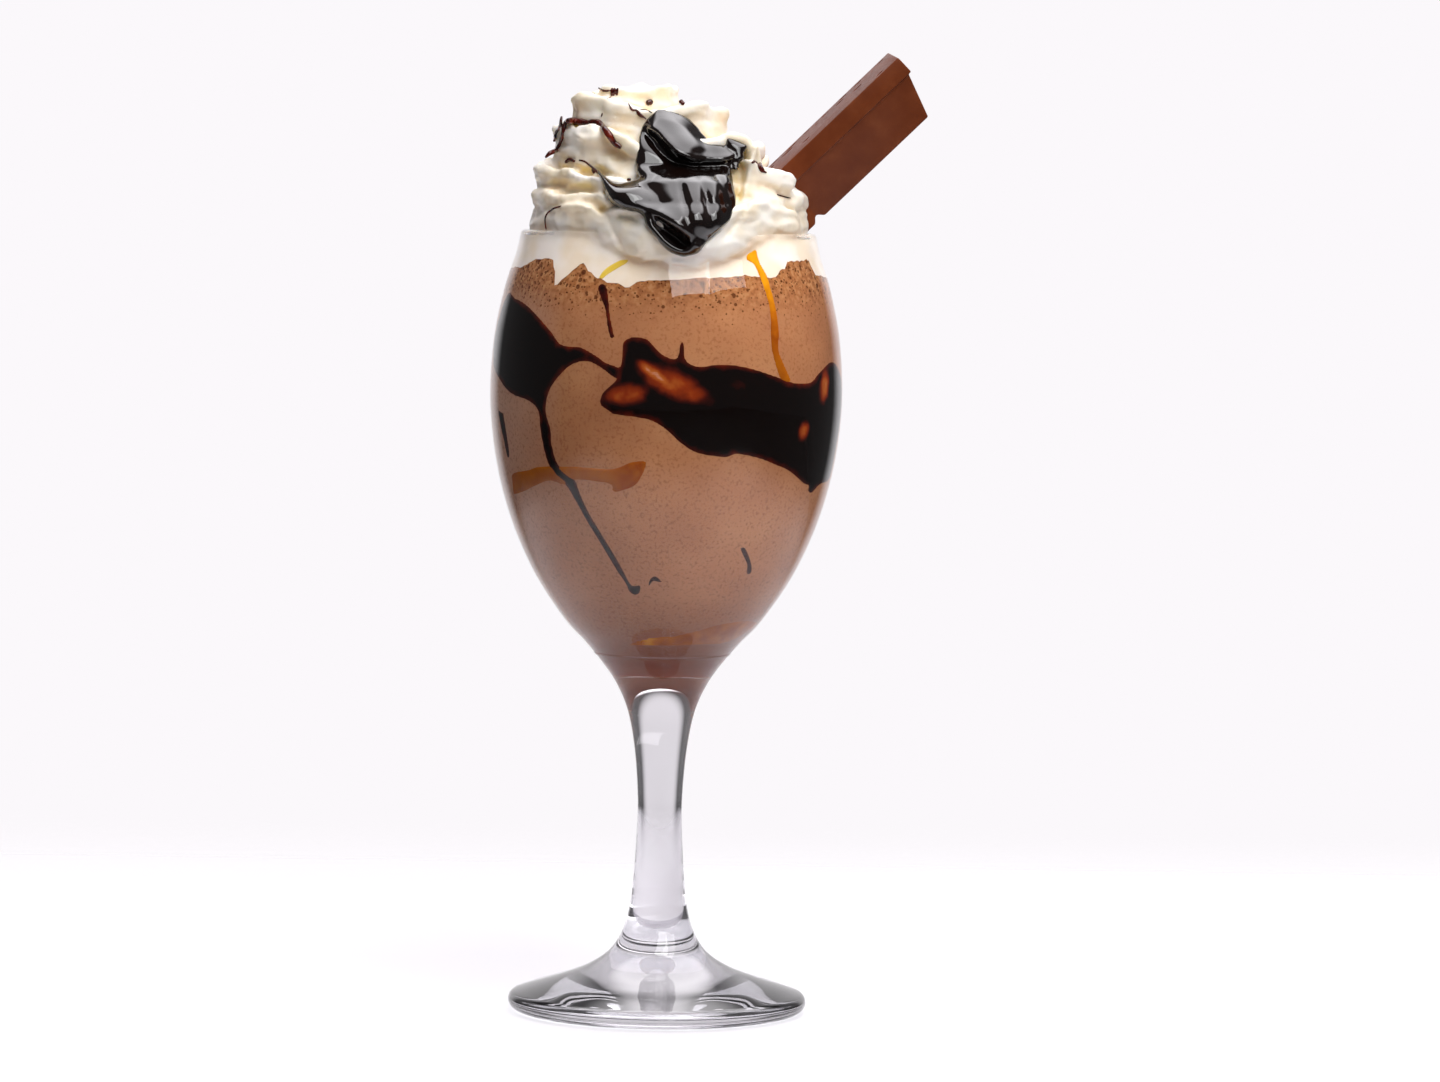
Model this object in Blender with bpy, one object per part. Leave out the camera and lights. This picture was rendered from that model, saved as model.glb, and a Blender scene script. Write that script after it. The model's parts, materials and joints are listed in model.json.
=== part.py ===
"""A chocolate milkshake in a stemmed glass, with whipped cream, fudge sauce and a chocolate bar.

The frame is in metres with +Z up and the origin at the centre of the foot's underside. The front,
where the sauce runs over the rim, faces -Y, and the bar leans out over the rim towards +X. Sizes below
are in millimetres unless their names say otherwise, and MM turns them into metres.
"""

import math
import random

import bmesh
import bpy
import numpy as np
from mathutils import Matrix, Vector, noise
from mathutils.bvhtree import BVHTree

MM = 0.001

# Glass: pairs are (radius, height) on the turned outline.
GLASS_HEIGHT = 190.8
FOOT_RADIUS = 36.6
FOOT_EDGE_HEIGHT = 4.4
RIM_RADIUS = 34.95
RIM_ROUND = 1.15
STEM_AND_BOWL = (
    (30.0, 6.0), (24.0, 7.9), (17.6, 10.4), (12.0, 14.2), (8.7, 19.4), (6.9, 26.0), (6.1, 34.0),
    (5.5, 45.0), (5.5, 53.0), (6.4, 64.0), (8.3, 73.7), (11.6, 81.0), (17.1, 88.4), (24.3, 96.2),
    (31.4, 106.8), (36.7, 118.2), (40.2, 129.4), (42.3, 141.0), (43.0, 152.7), (42.0, 166.0),
    (39.6, 177.4), (37.3, 184.4),
)
CAVITY = (
    (35.0, 184.4), (37.3, 177.4), (39.7, 166.0), (40.7, 152.7), (40.0, 141.0), (37.9, 129.4),
    (34.3, 118.2), (28.8, 106.8), (21.6, 97.4), (13.6, 90.6), (6.8, 87.3),
)
CAVITY_FLOOR = 86.4
TURN_STEPS = 48
GAP = 0.3

# Milkshake: its foamy edge rises and dips against the glass.
# Pairs are (degrees round from the front, height of the edge); the back follows a gentle wave.
SHAKE_LEVEL = 179.0
SHAKE_EDGE_BAND = 9.0
SHAKE_EDGE_RELIEF = 2.0
SHAKE_FRONT_EDGE = (
    (-90, 180.2), (-62, 182.6), (-51, 184.0), (-44, 177.4), (-37, 182.0), (-30, 182.9),
    (-22, 179.4), (-14, 177.4), (-7, 179.2), (10, 179.4), (38, 179.8), (47, 183.4), (58, 184.2),
    (68, 180.0), (90, 179.4),
)

# Whipped cream: one roll laid round the rim and then up in a spiral.
# Each row is (turn, centre x, centre y, ring radius, height, roll radius, sag at the front).
CREAM_TURNS = (
    (0.0, 0.0, 0.0, 27.2, 193.0, 6.7, 4.6),
    (1.0, -0.4, 0.0, 26.6, 193.2, 6.7, 4.6),
    (2.0, -3.2, 0.8, 21.2, 203.2, 6.4, 4.0),
    (3.0, -6.2, 2.0, 15.2, 212.4, 6.0, 3.0),
    (4.0, -9.2, 2.6, 8.4, 219.8, 5.2, 1.6),
    (4.5, -14.0, 2.2, 2.8, 221.8, 4.0, 0.0),
)
CREAM_START_DEG = 64.0
CREAM_STEPS_PER_TURN = 72
FRONT_DEG = -86.0
FRONT_SPREAD_DEG = 30.0
FRONT_BULGE = 10.0
CREST_DEG = 50.0
CREST_SPREAD_DEG = 21.0
CREST_HEIGHT = 0.42
CREAM_WOBBLE = 0.13
CREAM_VOXEL = 0.9
CREAM_TRIANGLES = 3700

# Short folds of cream beside the bar, as (x, y, z, radius) along each fold.
CREAM_FOLDS = (
    (
        (14.0, -20.0, 204.6, 4.2), (20.5, -17.6, 203.4, 3.8), (26.4, -14.2, 202.4, 3.0),
        (29.2, -12.0, 201.6, 2.0),
    ),
    ((16.0, -21.5, 197.6, 4.6), (22.0, -18.0, 196.6, 4.0), (26.0, -13.5, 196.4, 2.6)),
    ((19.0, -24.5, 192.6, 4.2), (25.6, -19.0, 193.0, 3.8), (30.4, -11.5, 193.2, 2.6)),
    (
        (11.0, -16.0, 212.0, 2.0), (15.0, -16.0, 211.6, 2.4), (18.6, -15.5, 208.6, 2.4),
        (20.0, -16.0, 204.5, 2.0),
    ),
)
CREAM_TUFTS = 12
TUFT_SEED = 7

# Fudge sauce: its outline in front view, as (x, z), and the small tip that parts from it.
SAUCE_OUTLINE = (
    (-3.6, 219.6), (1.5, 218.9), (5.5, 215.9), (8.3, 212.9), (13.0, 211.4), (15.8, 209.4), (14.8, 206.6),
    (15.7, 201.5), (15.6, 196.4), (12.0, 191.8), (7.6, 187.2), (3.6, 185.4), (-0.6, 187.2), (-4.2, 191.6),
    (-6.8, 195.2), (-11.2, 196.2), (-14.6, 201.0), (-20.4, 205.8), (-14.2, 202.4), (-9.2, 200.0),
    (-5.8, 201.6), (-7.6, 205.0), (-7.6, 211.6), (-6.0, 217.2),
)
SAUCE_TIP = ((12.0, 215.2), (16.6, 212.8), (18.9, 209.6), (17.4, 206.2), (14.2, 206.4), (14.6, 210.2))
SAUCE_THICKNESS = 3.3
SAUCE_EDGE = 3.4
SAUCE_DEPTH = 2.2
SAUCE_GRID = 0.6
# The fold across the middle stands over what flows under it, and a rope of sauce laps round the
# lower left.
SAUCE_FOLD = (
    (-4.6, 216.6), (-3.4, 214.6), (-1.4, 212.0), (1.4, 210.1), (4.8, 208.8), (9.6, 208.5), (15.0, 209.0),
)
SAUCE_FOLD_HEIGHT = 2.2
SAUCE_ROPE = (
    (-15.0, 201.6), (-11.4, 198.2), (-6.9, 196.5), (-2.1, 194.9), (2.7, 192.6), (6.2, 190.0), (6.2, 187.6),
)
SAUCE_ROPE_HEIGHT = 2.0
SAUCE_FURROWS = ((0.6, 1.2), (7.6, 1.0), (12.6, 0.8))
SAUCE_SMOOTHING = 5
SAUCE_TRIANGLES = 1300

# Thick drizzle lines lying on the cream, as (x, z) in front view.
DRIZZLES = (
    (
        (-28.2, 208.4), (-26.0, 211.6), (-24.6, 215.4), (-19.3, 215.7), (-15.4, 215.4), (-13.0, 213.2),
        (-10.4, 209.6),
    ),
    ((-28.6, 189.9), (-28.2, 192.0), (-26.4, 193.4), (-24.6, 193.6)),
)
DRIZZLE_RADIUS = 0.75

# Chocolate bar: a flat-backed bar with a lip round its back and a score line between two blocks.
BAR_ANGLE_DEG = 44.5
BAR_ROLL_DEG = 6.0
BAR_WIDTH = 22.0
BAR_LIP_HEIGHT = 4.7
BAR_HEIGHT = 15.8
BAR_LIP_STEP = 0.8
BAR_SIDE_DRAFT_DEG = 7.0
BAR_END_DRAFT_DEG = 18.0
BAR_BLOCK_LENGTH = 39.0
SCORE_WIDTH = 3.2
SCORE_DEPTH = 1.3
SCORE_SIDE_DEPTH = 0.5
BAR_TIP = (62.6, -3.2, 219.6)
BAR_BEVEL = 0.45


def clear_scene():
    """Removes whatever the file holds, so that the script can be run again."""
    for obj in list(bpy.data.objects):
        bpy.data.objects.remove(obj, do_unlink=True)


def linear(hex_colour):
    """Linear RGB of an sRGB hex colour."""
    channels = (int(hex_colour[i:i + 2], 16) / 255 for i in (1, 3, 5))
    return [c / 12.92 if c <= 0.04045 else ((c + 0.055) / 1.055) ** 2.4 for c in channels]


def material(name, hex_colour, roughness, transmission=0.0):
    """A plain Principled material."""
    made = bpy.data.materials.new(name)
    made.use_nodes = True
    shader = made.node_tree.nodes["Principled BSDF"]
    shader.inputs["Base Color"].default_value = (*linear(hex_colour), 1.0)
    shader.inputs["Roughness"].default_value = roughness
    shader.inputs["Metallic"].default_value = 0.0
    shader.inputs["Transmission Weight"].default_value = transmission
    made.diffuse_color = (*linear(hex_colour), 1.0)
    return made


def add_object(name, bm, finish=None, smooth_deg=None):
    """Turns a bmesh into an object in the scene and frees it."""
    mesh = bpy.data.meshes.new(name)
    bm.to_mesh(mesh)
    bm.free()
    obj = bpy.data.objects.new(name, mesh)
    bpy.context.scene.collection.objects.link(obj)
    if finish:
        mesh.materials.append(finish)
    if smooth_deg is not None:
        mesh.shade_smooth()
        mesh.set_sharp_from_angle(angle=math.radians(smooth_deg))
    return obj


def as_helper(obj):
    """Marks an object as a cutter, which isn't part of the model."""
    obj.hide_render = True
    obj.display_type = "WIRE"
    return obj


def apply_modifiers(obj):
    """Replaces the object's mesh with the mesh its modifiers make."""
    graph = bpy.context.evaluated_depsgraph_get()
    made = bpy.data.meshes.new_from_object(obj.evaluated_get(graph))
    made.name = obj.data.name
    obj.modifiers.clear()
    obj.data = made
    return obj


def smooth_line(points, steps):
    """Catmull-Rom curve through the points, of any dimension, with this many steps a span."""
    first = [2 * a - b for a, b in zip(points[0], points[1])]
    last = [2 * a - b for a, b in zip(points[-1], points[-2])]
    held = [first, *points, last]
    line = []
    for i in range(1, len(held) - 2):
        p0, p1, p2, p3 = held[i - 1:i + 3]
        for k in range(steps):
            t = k / steps
            line.append(tuple(
                0.5
                * (2 * b + (c - a) * t + (2 * a - 5 * b + 4 * c - d) * t ** 2 + (3 * b - a - 3 * c + d) * t ** 3)
                for a, b, c, d in zip(p0, p1, p2, p3)
            ))
    line.append(tuple(points[-1]))
    return line


def arc(centre, radii, start_deg, end_deg, steps):
    """Points of an elliptical arc in the turned outline's plane."""
    return [
        (centre[0] + radii[0] * math.cos(math.radians(a)), centre[1] + radii[1] * math.sin(math.radians(a)))
        for a in (start_deg + (end_deg - start_deg) * k / steps for k in range(steps + 1))
    ]


def rim_height():
    return GLASS_HEIGHT - RIM_ROUND


def outer_outline():
    """The foot's rounded edge, the foot's top, the stem and the bowl's outside, up to the rim."""
    half = FOOT_EDGE_HEIGHT / 2
    edge = arc((FOOT_RADIUS - half, half), (half, half), -90, 60, 5)
    return edge + [*STEM_AND_BOWL, (RIM_RADIUS + RIM_ROUND, rim_height())]


def cavity_outline():
    """The bowl's inside, from the rim down to the middle of its floor."""
    start = (RIM_RADIUS - RIM_ROUND, rim_height())
    return [start, *CAVITY, (0.0, CAVITY_FLOOR)]


def offset_outline(points, distance):
    """The outline moved to its left by a distance."""
    moved = []
    for i, (r, z) in enumerate(points):
        r0, z0 = points[max(i - 1, 0)]
        r1, z1 = points[min(i + 1, len(points) - 1)]
        length = math.hypot(r1 - r0, z1 - z0)
        moved.append((r - (z1 - z0) / length * distance, z + (r1 - r0) / length * distance))
    return moved


def turned(points, closed=False):
    """A bmesh turned about Z from an outline. An open outline starts and ends on the axis."""
    bm = bmesh.new()
    verts = [bm.verts.new((r * MM, 0, z * MM)) for r, z in points]
    pairs = list(zip(verts, verts[1:]))
    if closed:
        pairs.append((verts[-1], verts[0]))
    edges = [bm.edges.new(pair) for pair in pairs]
    bmesh.ops.spin(
        bm, geom=verts + edges, cent=(0, 0, 0), axis=(0, 0, 1), angle=2 * math.pi, steps=TURN_STEPS,
        use_merge=True,
    )
    bmesh.ops.remove_doubles(bm, verts=bm.verts, dist=1e-6)
    bmesh.ops.recalc_face_normals(bm, faces=bm.faces)
    return bm


def make_glass(finish):
    """The stemmed glass: one turned piece, solid in the stem and foot."""
    rim = arc((RIM_RADIUS, rim_height()), (RIM_ROUND, RIM_ROUND), 0, 180, 4)
    outline = [(0.0, 0.0)] + outer_outline() + rim[1:-1] + cavity_outline()
    return add_object("glass", turned(outline), finish, 40)


def glass_clearance():
    """A ring a little larger than the upper bowl's wall, to keep the cream off the glass."""
    lowest = SHAKE_LEVEL - 2 * SHAKE_EDGE_BAND
    outside = [p for p in outer_outline() if p[1] > lowest]
    inside = [p for p in cavity_outline() if p[1] > lowest]
    rim = arc((RIM_RADIUS, rim_height()), (RIM_ROUND + GAP, RIM_ROUND + GAP), 0, 180, 8)
    ring = offset_outline(outside, -GAP)[:-1] + rim + offset_outline(inside, -GAP)[1:]
    return as_helper(add_object("glass_clearance", turned(ring, closed=True)))


def cavity_radius(height):
    """Radius of the bowl's inside at a height."""
    line = cavity_outline()
    for (r0, z0), (r1, z1) in zip(line, line[1:]):
        if z1 <= height <= z0:
            return r1 + (r0 - r1) * (height - z1) / (z0 - z1)
    return line[0][0]


def along_table(table, x):
    """Value at x in a table of pairs, eased between its rows."""
    for (x0, v0), (x1, v1) in zip(table, table[1:]):
        if x <= x1:
            t = max(0.0, (x - x0) / (x1 - x0))
            return v0 + (v1 - v0) * t * t * (3 - 2 * t)
    return table[-1][1]


def shake_edge(angle):
    """Height of the foam's edge against the glass."""
    from_front = (math.degrees(angle) + 90 + 180) % 360 - 180
    if abs(from_front) <= 90:
        return along_table(SHAKE_FRONT_EDGE, from_front)
    spot = Vector((math.cos(angle), math.sin(angle), 0.0))
    ease = min(1.0, (abs(from_front) - 90) / 25)
    waves = noise.noise(spot * 2.6 + Vector((3.1, 0.4, 1.7)))
    return SHAKE_LEVEL + 0.8 + ease * SHAKE_EDGE_RELIEF * 2 * waves


def shake_body(side_gap, top_rise):
    """The drink: the bowl's inside up to the foam, held off the wall by side_gap."""
    floor = SHAKE_LEVEL - SHAKE_EDGE_BAND
    wall = [p for p in offset_outline(cavity_outline(), -side_gap) if p[1] < floor and p[0] > 0.01][::-1]
    bm = bmesh.new()
    rings = []
    for r, z in wall:
        rings.append([(r, z)] * TURN_STEPS)
    for share in (0.0, 0.4, 0.75, 1.0):
        ring = []
        for k in range(TURN_STEPS):
            top = shake_edge(2 * math.pi * k / TURN_STEPS) + top_rise
            z = floor + (top - floor) * share
            ring.append((cavity_radius(z) - side_gap, z))
        rings.append(ring)
    level = SHAKE_LEVEL + top_rise
    for share in (0.82, 0.55, 0.28):
        rings.append([(r * share, level + (z - level) * share ** 2) for r, z in ring])
    turns = [2 * math.pi * k / TURN_STEPS for k in range(TURN_STEPS)]
    rows = [
        [
            bm.verts.new((r * math.cos(a) * MM, r * math.sin(a) * MM, z * MM))
            for a, (r, z) in zip(turns, ring)
        ]
        for ring in rings
    ]
    bottom = bm.verts.new((0, 0, (CAVITY_FLOOR + side_gap) * MM))
    crown = bm.verts.new((0, 0, level * MM))
    for k in range(TURN_STEPS):
        n = (k + 1) % TURN_STEPS
        for low, high in zip(rows, rows[1:]):
            bm.faces.new((low[k], low[n], high[n], high[k]))
        bm.faces.new((bottom, rows[0][n], rows[0][k]))
        bm.faces.new((crown, rows[-1][k], rows[-1][n]))
    bmesh.ops.recalc_face_normals(bm, faces=bm.faces)
    return bm


def roll_frame(path, i, outward_from):
    """Tangent, outward and up directions of a roll at one of its points."""
    tangent = (path[min(i + 1, len(path) - 1)] - path[max(i - 1, 0)]).normalized()
    away = path[i] - outward_from
    away.z = 0.0
    out = (away - tangent * away.dot(tangent)).normalized()
    up = tangent.cross(out)
    return (out, up) if up.z >= 0 else (out, -up)


def add_roll(bm, path, radii, centres, crest=CREST_HEIGHT, sides=22):
    """Sweeps a roll of cream along a path, with a crest on its upper outer side and round ends."""
    rows = []
    for i, centre in enumerate(path):
        out, up = roll_frame(path, i, centres[i])
        row = []
        for k in range(sides):
            a = 2 * math.pi * k / sides
            off = (a - math.radians(CREST_DEG) + math.pi) % (2 * math.pi) - math.pi
            peak = crest * math.exp(-((off / math.radians(CREST_SPREAD_DEG)) ** 2))
            along = centre * 0.11
            swell = CREAM_WOBBLE * noise.noise(along + Vector((2.0 * math.cos(a), 2.0 * math.sin(a), 0.0)))
            radius = radii[i] * (0.94 + peak * (1.0 + 1.2 * noise.noise(along * 1.7)) + swell)
            row.append(bm.verts.new((centre + (out * math.cos(a) + up * math.sin(a)) * radius) * MM))
        rows.append(row)
    for near, far in zip(rows, rows[1:]):
        for k in range(sides):
            n = (k + 1) % sides
            bm.faces.new((near[k], near[n], far[n], far[k]))
    for row in (rows[0], rows[-1]):
        bm.faces.new(row)


def ease_ends(radii, steps):
    """Tapers the first and last radii so that the roll ends round."""
    count = len(radii)
    return [
        r * math.sqrt(max(0.02, 1 - (1 - min(1.0, (min(i, count - 1 - i) + 0.3) / steps)) ** 2))
        for i, r in enumerate(radii)
    ]


def front_weight(angle):
    """1 at the front, where the cream slumps under the sauce, falling to 0 at the sides."""
    off = (angle - math.radians(FRONT_DEG) + math.pi) % (2 * math.pi) - math.pi
    return math.exp(-((off / math.radians(FRONT_SPREAD_DEG)) ** 2))


def cream_spiral():
    """Centre line, radii and ring centres of the long roll."""
    table = smooth_line(CREAM_TURNS, CREAM_STEPS_PER_TURN)
    path, radii, centres = [], [], []
    for turn, cx, cy, ring, height, roll, sag in table:
        angle = math.radians(CREAM_START_DEG) - 2 * math.pi * turn
        front = front_weight(angle)
        over_rim = max(0.0, 1.6 - turn) / 1.6
        ring = ring + FRONT_BULGE * front * over_rim
        ring += 1.1 * noise.noise(Vector((math.cos(angle), math.sin(angle), turn)) * 1.9)
        height = height - sag * front + 0.9 * noise.noise(Vector((turn * 3.1, math.cos(angle), 5.0)))
        roll = roll * (1 - 0.14 * front * over_rim)
        path.append(Vector((cx + ring * math.cos(angle), cy + ring * math.sin(angle), height)))
        radii.append(roll)
        centres.append(Vector((cx, cy, height)))
    return path, ease_ends(radii, 7), centres


def add_cream_core(bm):
    """The mass inside the rolls, from the plug in the bowl up to under the top."""
    low = SHAKE_LEVEL - SHAKE_EDGE_BAND + 1.0
    levels = [low + (GLASS_HEIGHT - 1.5 - low) * k / 4 for k in range(5)]
    side = [(cavity_radius(z) + 0.8, z) for z in levels]
    plug = turned([(0.0, low)] + side + [(30.0, 193.0), (24.0, 202.0), (0.0, 203.0)])
    mesh = bpy.data.meshes.new("plug")
    plug.to_mesh(mesh)
    plug.free()
    bm.from_mesh(mesh)
    bpy.data.meshes.remove(mesh)
    for x, y, z, radius in ((-2.0, 3.0, 203.0, 17.0), (-6.5, 3.0, 210.0, 12.0)):
        place = Matrix.Translation(Vector((x, y, z)) * MM) @ Matrix.Scale(radius * MM, 4)
        bmesh.ops.create_icosphere(bm, subdivisions=4, radius=1.0, matrix=place)


def add_folds(bm):
    """Short folds beside the bar."""
    for fold in CREAM_FOLDS:
        line = smooth_line(fold, 6)
        path = [Vector(p[:3]) for p in line]
        centres = [Vector((0.0, 0.0, p.z)) for p in path]
        add_roll(bm, path, ease_ends([p[3] for p in line], 3), centres, crest=0.3)


def add_tufts(bm):
    """Small uneven tufts round the back and sides of the mound."""
    draw = random.Random(TUFT_SEED)
    for k in range(CREAM_TUFTS):
        angle = math.radians(10 + 200 * (k + 0.5) / CREAM_TUFTS + draw.uniform(-8, 8))
        height = draw.uniform(197, 214)
        reach = 30.5 - (height - 195) * 0.62
        centre = Vector((-0.14 * (height - 195), 0.0, height))
        path = [
            centre
            + Vector((reach * math.cos(angle + d), reach * math.sin(angle + d), 1.6 * math.sin(9 * d + k)))
            for d in (-0.22, -0.11, 0.0, 0.11, 0.22)
        ]
        radius = draw.uniform(3.0, 4.2)
        add_roll(bm, path, [radius * s for s in (0.35, 0.85, 1.0, 0.8, 0.3)], [centre] * 5, crest=0.4)


def remesh(obj, voxel, smoothing, triangles=None):
    """Fuses overlapping shapes into one skin, smooths it and thins it to a number of triangles."""
    fuse = obj.modifiers.new("fuse", "REMESH")
    fuse.mode = "VOXEL"
    fuse.voxel_size = voxel * MM
    soften = obj.modifiers.new("soften", "SMOOTH")
    soften.factor = 0.5
    soften.iterations = smoothing
    apply_modifiers(obj)
    if triangles:
        obj.data.calc_loop_triangles()
        thin = obj.modifiers.new("thin", "DECIMATE")
        thin.ratio = triangles / len(obj.data.loop_triangles)
        apply_modifiers(obj)
    return obj


def make_cream_mound(finish):
    """The whipped cream before its neighbours are cut out of it."""
    bm = bmesh.new()
    add_roll(bm, *cream_spiral())
    add_cream_core(bm)
    add_folds(bm)
    add_tufts(bm)
    bmesh.ops.recalc_face_normals(bm, faces=bm.faces)
    mound = add_object("whipped_cream", bm, finish)
    return remesh(mound, CREAM_VOXEL, 2)


def surface_finder(obj):
    """A function that gives the front surface's point and normal at (x, z), in millimetres."""
    bm = bmesh.new()
    bm.from_mesh(obj.data)
    tree = BVHTree.FromBMesh(bm)
    bm.free()

    def find(x, z):
        point, normal, _, _ = tree.ray_cast(Vector((x, -90.0, z)) * MM, Vector((0, 1, 0)))
        if point is None:
            point, normal, _, _ = tree.find_nearest(Vector((x, -12.0, z)) * MM)
        return point / MM, normal

    return find


def draped(line, find, lift, steps):
    """Points of a line laid on the front surface, evened out along its length."""
    found = [find(x, z) for x, z in smooth_line(line, steps)]
    points = []
    for i, (point, _) in enumerate(found):
        near = found[max(0, i - 1):i + 2]
        depth = sum(p.y for p, _ in near) / len(near)
        direction = sum((n for _, n in near), Vector()).normalized()
        points.append(Vector((point.x, depth, point.z)) + direction * lift)
    return points


def nearest_on(line, points):
    """Distance from each point to a line of segments, and the signed height over it."""
    best = np.full(len(points), np.inf)
    over = np.zeros(len(points))
    for start, end in zip(line, line[1:]):
        a, b = np.array(start[:2]), np.array(end[:2])
        along = np.clip(((points - a) @ (b - a)) / ((b - a) @ (b - a)), 0, 1)
        gap = points - (a + along[:, None] * (b - a))
        distance = np.hypot(gap[:, 0], gap[:, 1])
        closer = distance < best
        best[closer] = distance[closer]
        over[closer] = gap[closer, 1]
    return best, over


def inside(outline, points):
    """Which points an outline encloses."""
    result = np.zeros(len(points), dtype=bool)
    for (x0, z0), (x1, z1) in zip(outline, outline[1:] + outline[:1]):
        if z0 == z1:
            continue
        spans = (points[:, 1] > min(z0, z1)) & (points[:, 1] <= max(z0, z1))
        cross = x0 + (points[:, 1] - z0) / (z1 - z0) * (x1 - x0)
        result ^= spans & (points[:, 0] < cross)
    return result


def closed_line(points, steps=6):
    """A smooth closed outline through the points."""
    ring = smooth_line((*points[-2:], *points, *points[:2]), steps)
    return ring[2 * steps:-2 * steps]


def blurred(field, times):
    """The field averaged with its neighbours, this many times."""
    for _ in range(times):
        edge = np.pad(field, 1, mode="edge")
        field = (edge[:-2, 1:-1] + edge[2:, 1:-1] + edge[1:-1, :-2] + edge[1:-1, 2:] + 2 * field) / 6
    return field


def front_envelope(depths, reach):
    """The foremost depth near each point, smoothed, so that the sauce bridges the cream's valleys."""
    foremost = depths.copy()
    for _ in range(reach):
        edge = np.pad(foremost, 1, mode="edge")
        foremost = np.minimum.reduce(
            [edge[1:-1, 1:-1], edge[:-2, 1:-1], edge[2:, 1:-1], edge[1:-1, :-2], edge[1:-1, 2:]]
        )
    return blurred(0.8 * foremost + 0.2 * depths, 14)


def sauce_thickness(points):
    """How far the sauce stands proud at each point, and how far in from its edge that is."""
    edge = np.full(len(points), -1.0)
    for outline in (closed_line(SAUCE_OUTLINE), closed_line(SAUCE_TIP)):
        distance, _ = nearest_on(outline + outline[:1], points)
        edge = np.maximum(edge, np.where(inside(outline, points), distance, -distance))
    share = np.clip(edge / SAUCE_EDGE, 0, 1)
    thick = SAUCE_THICKNESS * np.sqrt(1 - (1 - share) ** 2)
    fold, over = nearest_on(smooth_line(SAUCE_FOLD, 6), points)
    signed = np.where(over >= 0, fold / 3.4, fold / 0.9)
    thick += SAUCE_FOLD_HEIGHT * np.exp(-(signed ** 2)) * np.sqrt(share)
    rope, _ = nearest_on(smooth_line(SAUCE_ROPE, 6), points)
    thick += SAUCE_ROPE_HEIGHT * np.exp(-((rope / 1.6) ** 2)) * np.sqrt(share)
    for x, depth in SAUCE_FURROWS:
        lane = np.exp(-(((points[:, 0] - x - 0.1 * (200 - points[:, 1])) / 1.3) ** 2))
        reach = np.exp(-(((points[:, 1] - 200) / 5.5) ** 2))
        thick -= depth * lane * reach * share
    return thick, edge


def make_sauce(finish, find):
    """The thick fudge sauce poured over the front."""
    xs = np.arange(-23.0, 21.5, SAUCE_GRID)
    zs = np.arange(183.5, 221.6, SAUCE_GRID)
    points = np.array([(x, z) for z in zs for x in xs])
    depths = np.array([find(x, z)[0].y for x, z in points]).reshape(len(zs), len(xs))
    shell = front_envelope(depths, 3)
    thick, edge = (a.reshape(shell.shape) for a in sauce_thickness(points))
    bm = bmesh.new()
    front, back = {}, {}
    kept = edge > 0
    for j, i in zip(*np.nonzero(kept)):
        x, z, depth = xs[i], zs[j], shell[j, i]
        front[j, i] = bm.verts.new(Vector((x, depth - thick[j, i] - 0.05, z)) * MM)
        rear = max(depth + SAUCE_DEPTH * min(1.0, edge[j, i] / 1.5), min(depths[j, i], depth + 4.0) + 0.6)
        back[j, i] = bm.verts.new(Vector((x, rear, z)) * MM)
    sides = {}
    for j, i in front:
        ring = ((j, i), (j, i + 1), (j + 1, i + 1), (j + 1, i))
        if all(spot in front for spot in ring):
            bm.faces.new([front[spot] for spot in ring])
            bm.faces.new([back[spot] for spot in reversed(ring)])
            for pair in zip(ring, ring[1:] + ring[:1]):
                sides[pair] = True
    for a, b in sides:
        if (b, a) not in sides:
            bm.faces.new((front[b], front[a], back[a], back[b]))
    loose = [v for v in bm.verts if not v.link_faces]
    bmesh.ops.delete(bm, geom=loose, context="VERTS")
    bmesh.ops.recalc_face_normals(bm, faces=bm.faces)
    sauce = add_object("fudge_sauce", bm, finish)
    remesh(sauce, SAUCE_GRID, SAUCE_SMOOTHING, SAUCE_TRIANGLES)
    return keep_largest(sauce)


def clearance_of(obj):
    """A copy of the object, larger by the gap all round."""
    copy = bpy.data.objects.new(obj.name + "_clearance", obj.data.copy())
    bpy.context.scene.collection.objects.link(copy)
    grow = copy.modifiers.new("grow", "DISPLACE")
    grow.mid_level = 0.0
    grow.strength = GAP * 1.15 * MM
    apply_modifiers(copy)
    return as_helper(copy)


def cut(obj, *cutters):
    """Cuts the cutters out of the object."""
    for cutter in cutters:
        boolean = obj.modifiers.new("cut_" + cutter.name, "BOOLEAN")
        boolean.operation = "DIFFERENCE"
        boolean.object = cutter
        boolean.solver = "MANIFOLD"
    return apply_modifiers(obj)


def keep_largest(obj):
    """Drops the loose scraps that a cut leaves."""
    bm = bmesh.new()
    bm.from_mesh(obj.data)
    left = set(bm.verts)
    islands = []
    while left:
        stack = [left.pop()]
        island = set(stack)
        while stack:
            for edge in stack.pop().link_edges:
                for vert in edge.verts:
                    if vert in left:
                        left.remove(vert)
                        island.add(vert)
                        stack.append(vert)
        islands.append(island)
    islands.sort(key=len)
    bmesh.ops.delete(bm, geom=[v for island in islands[:-1] for v in island], context="VERTS")
    bm.to_mesh(obj.data)
    bm.free()
    return obj


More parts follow.
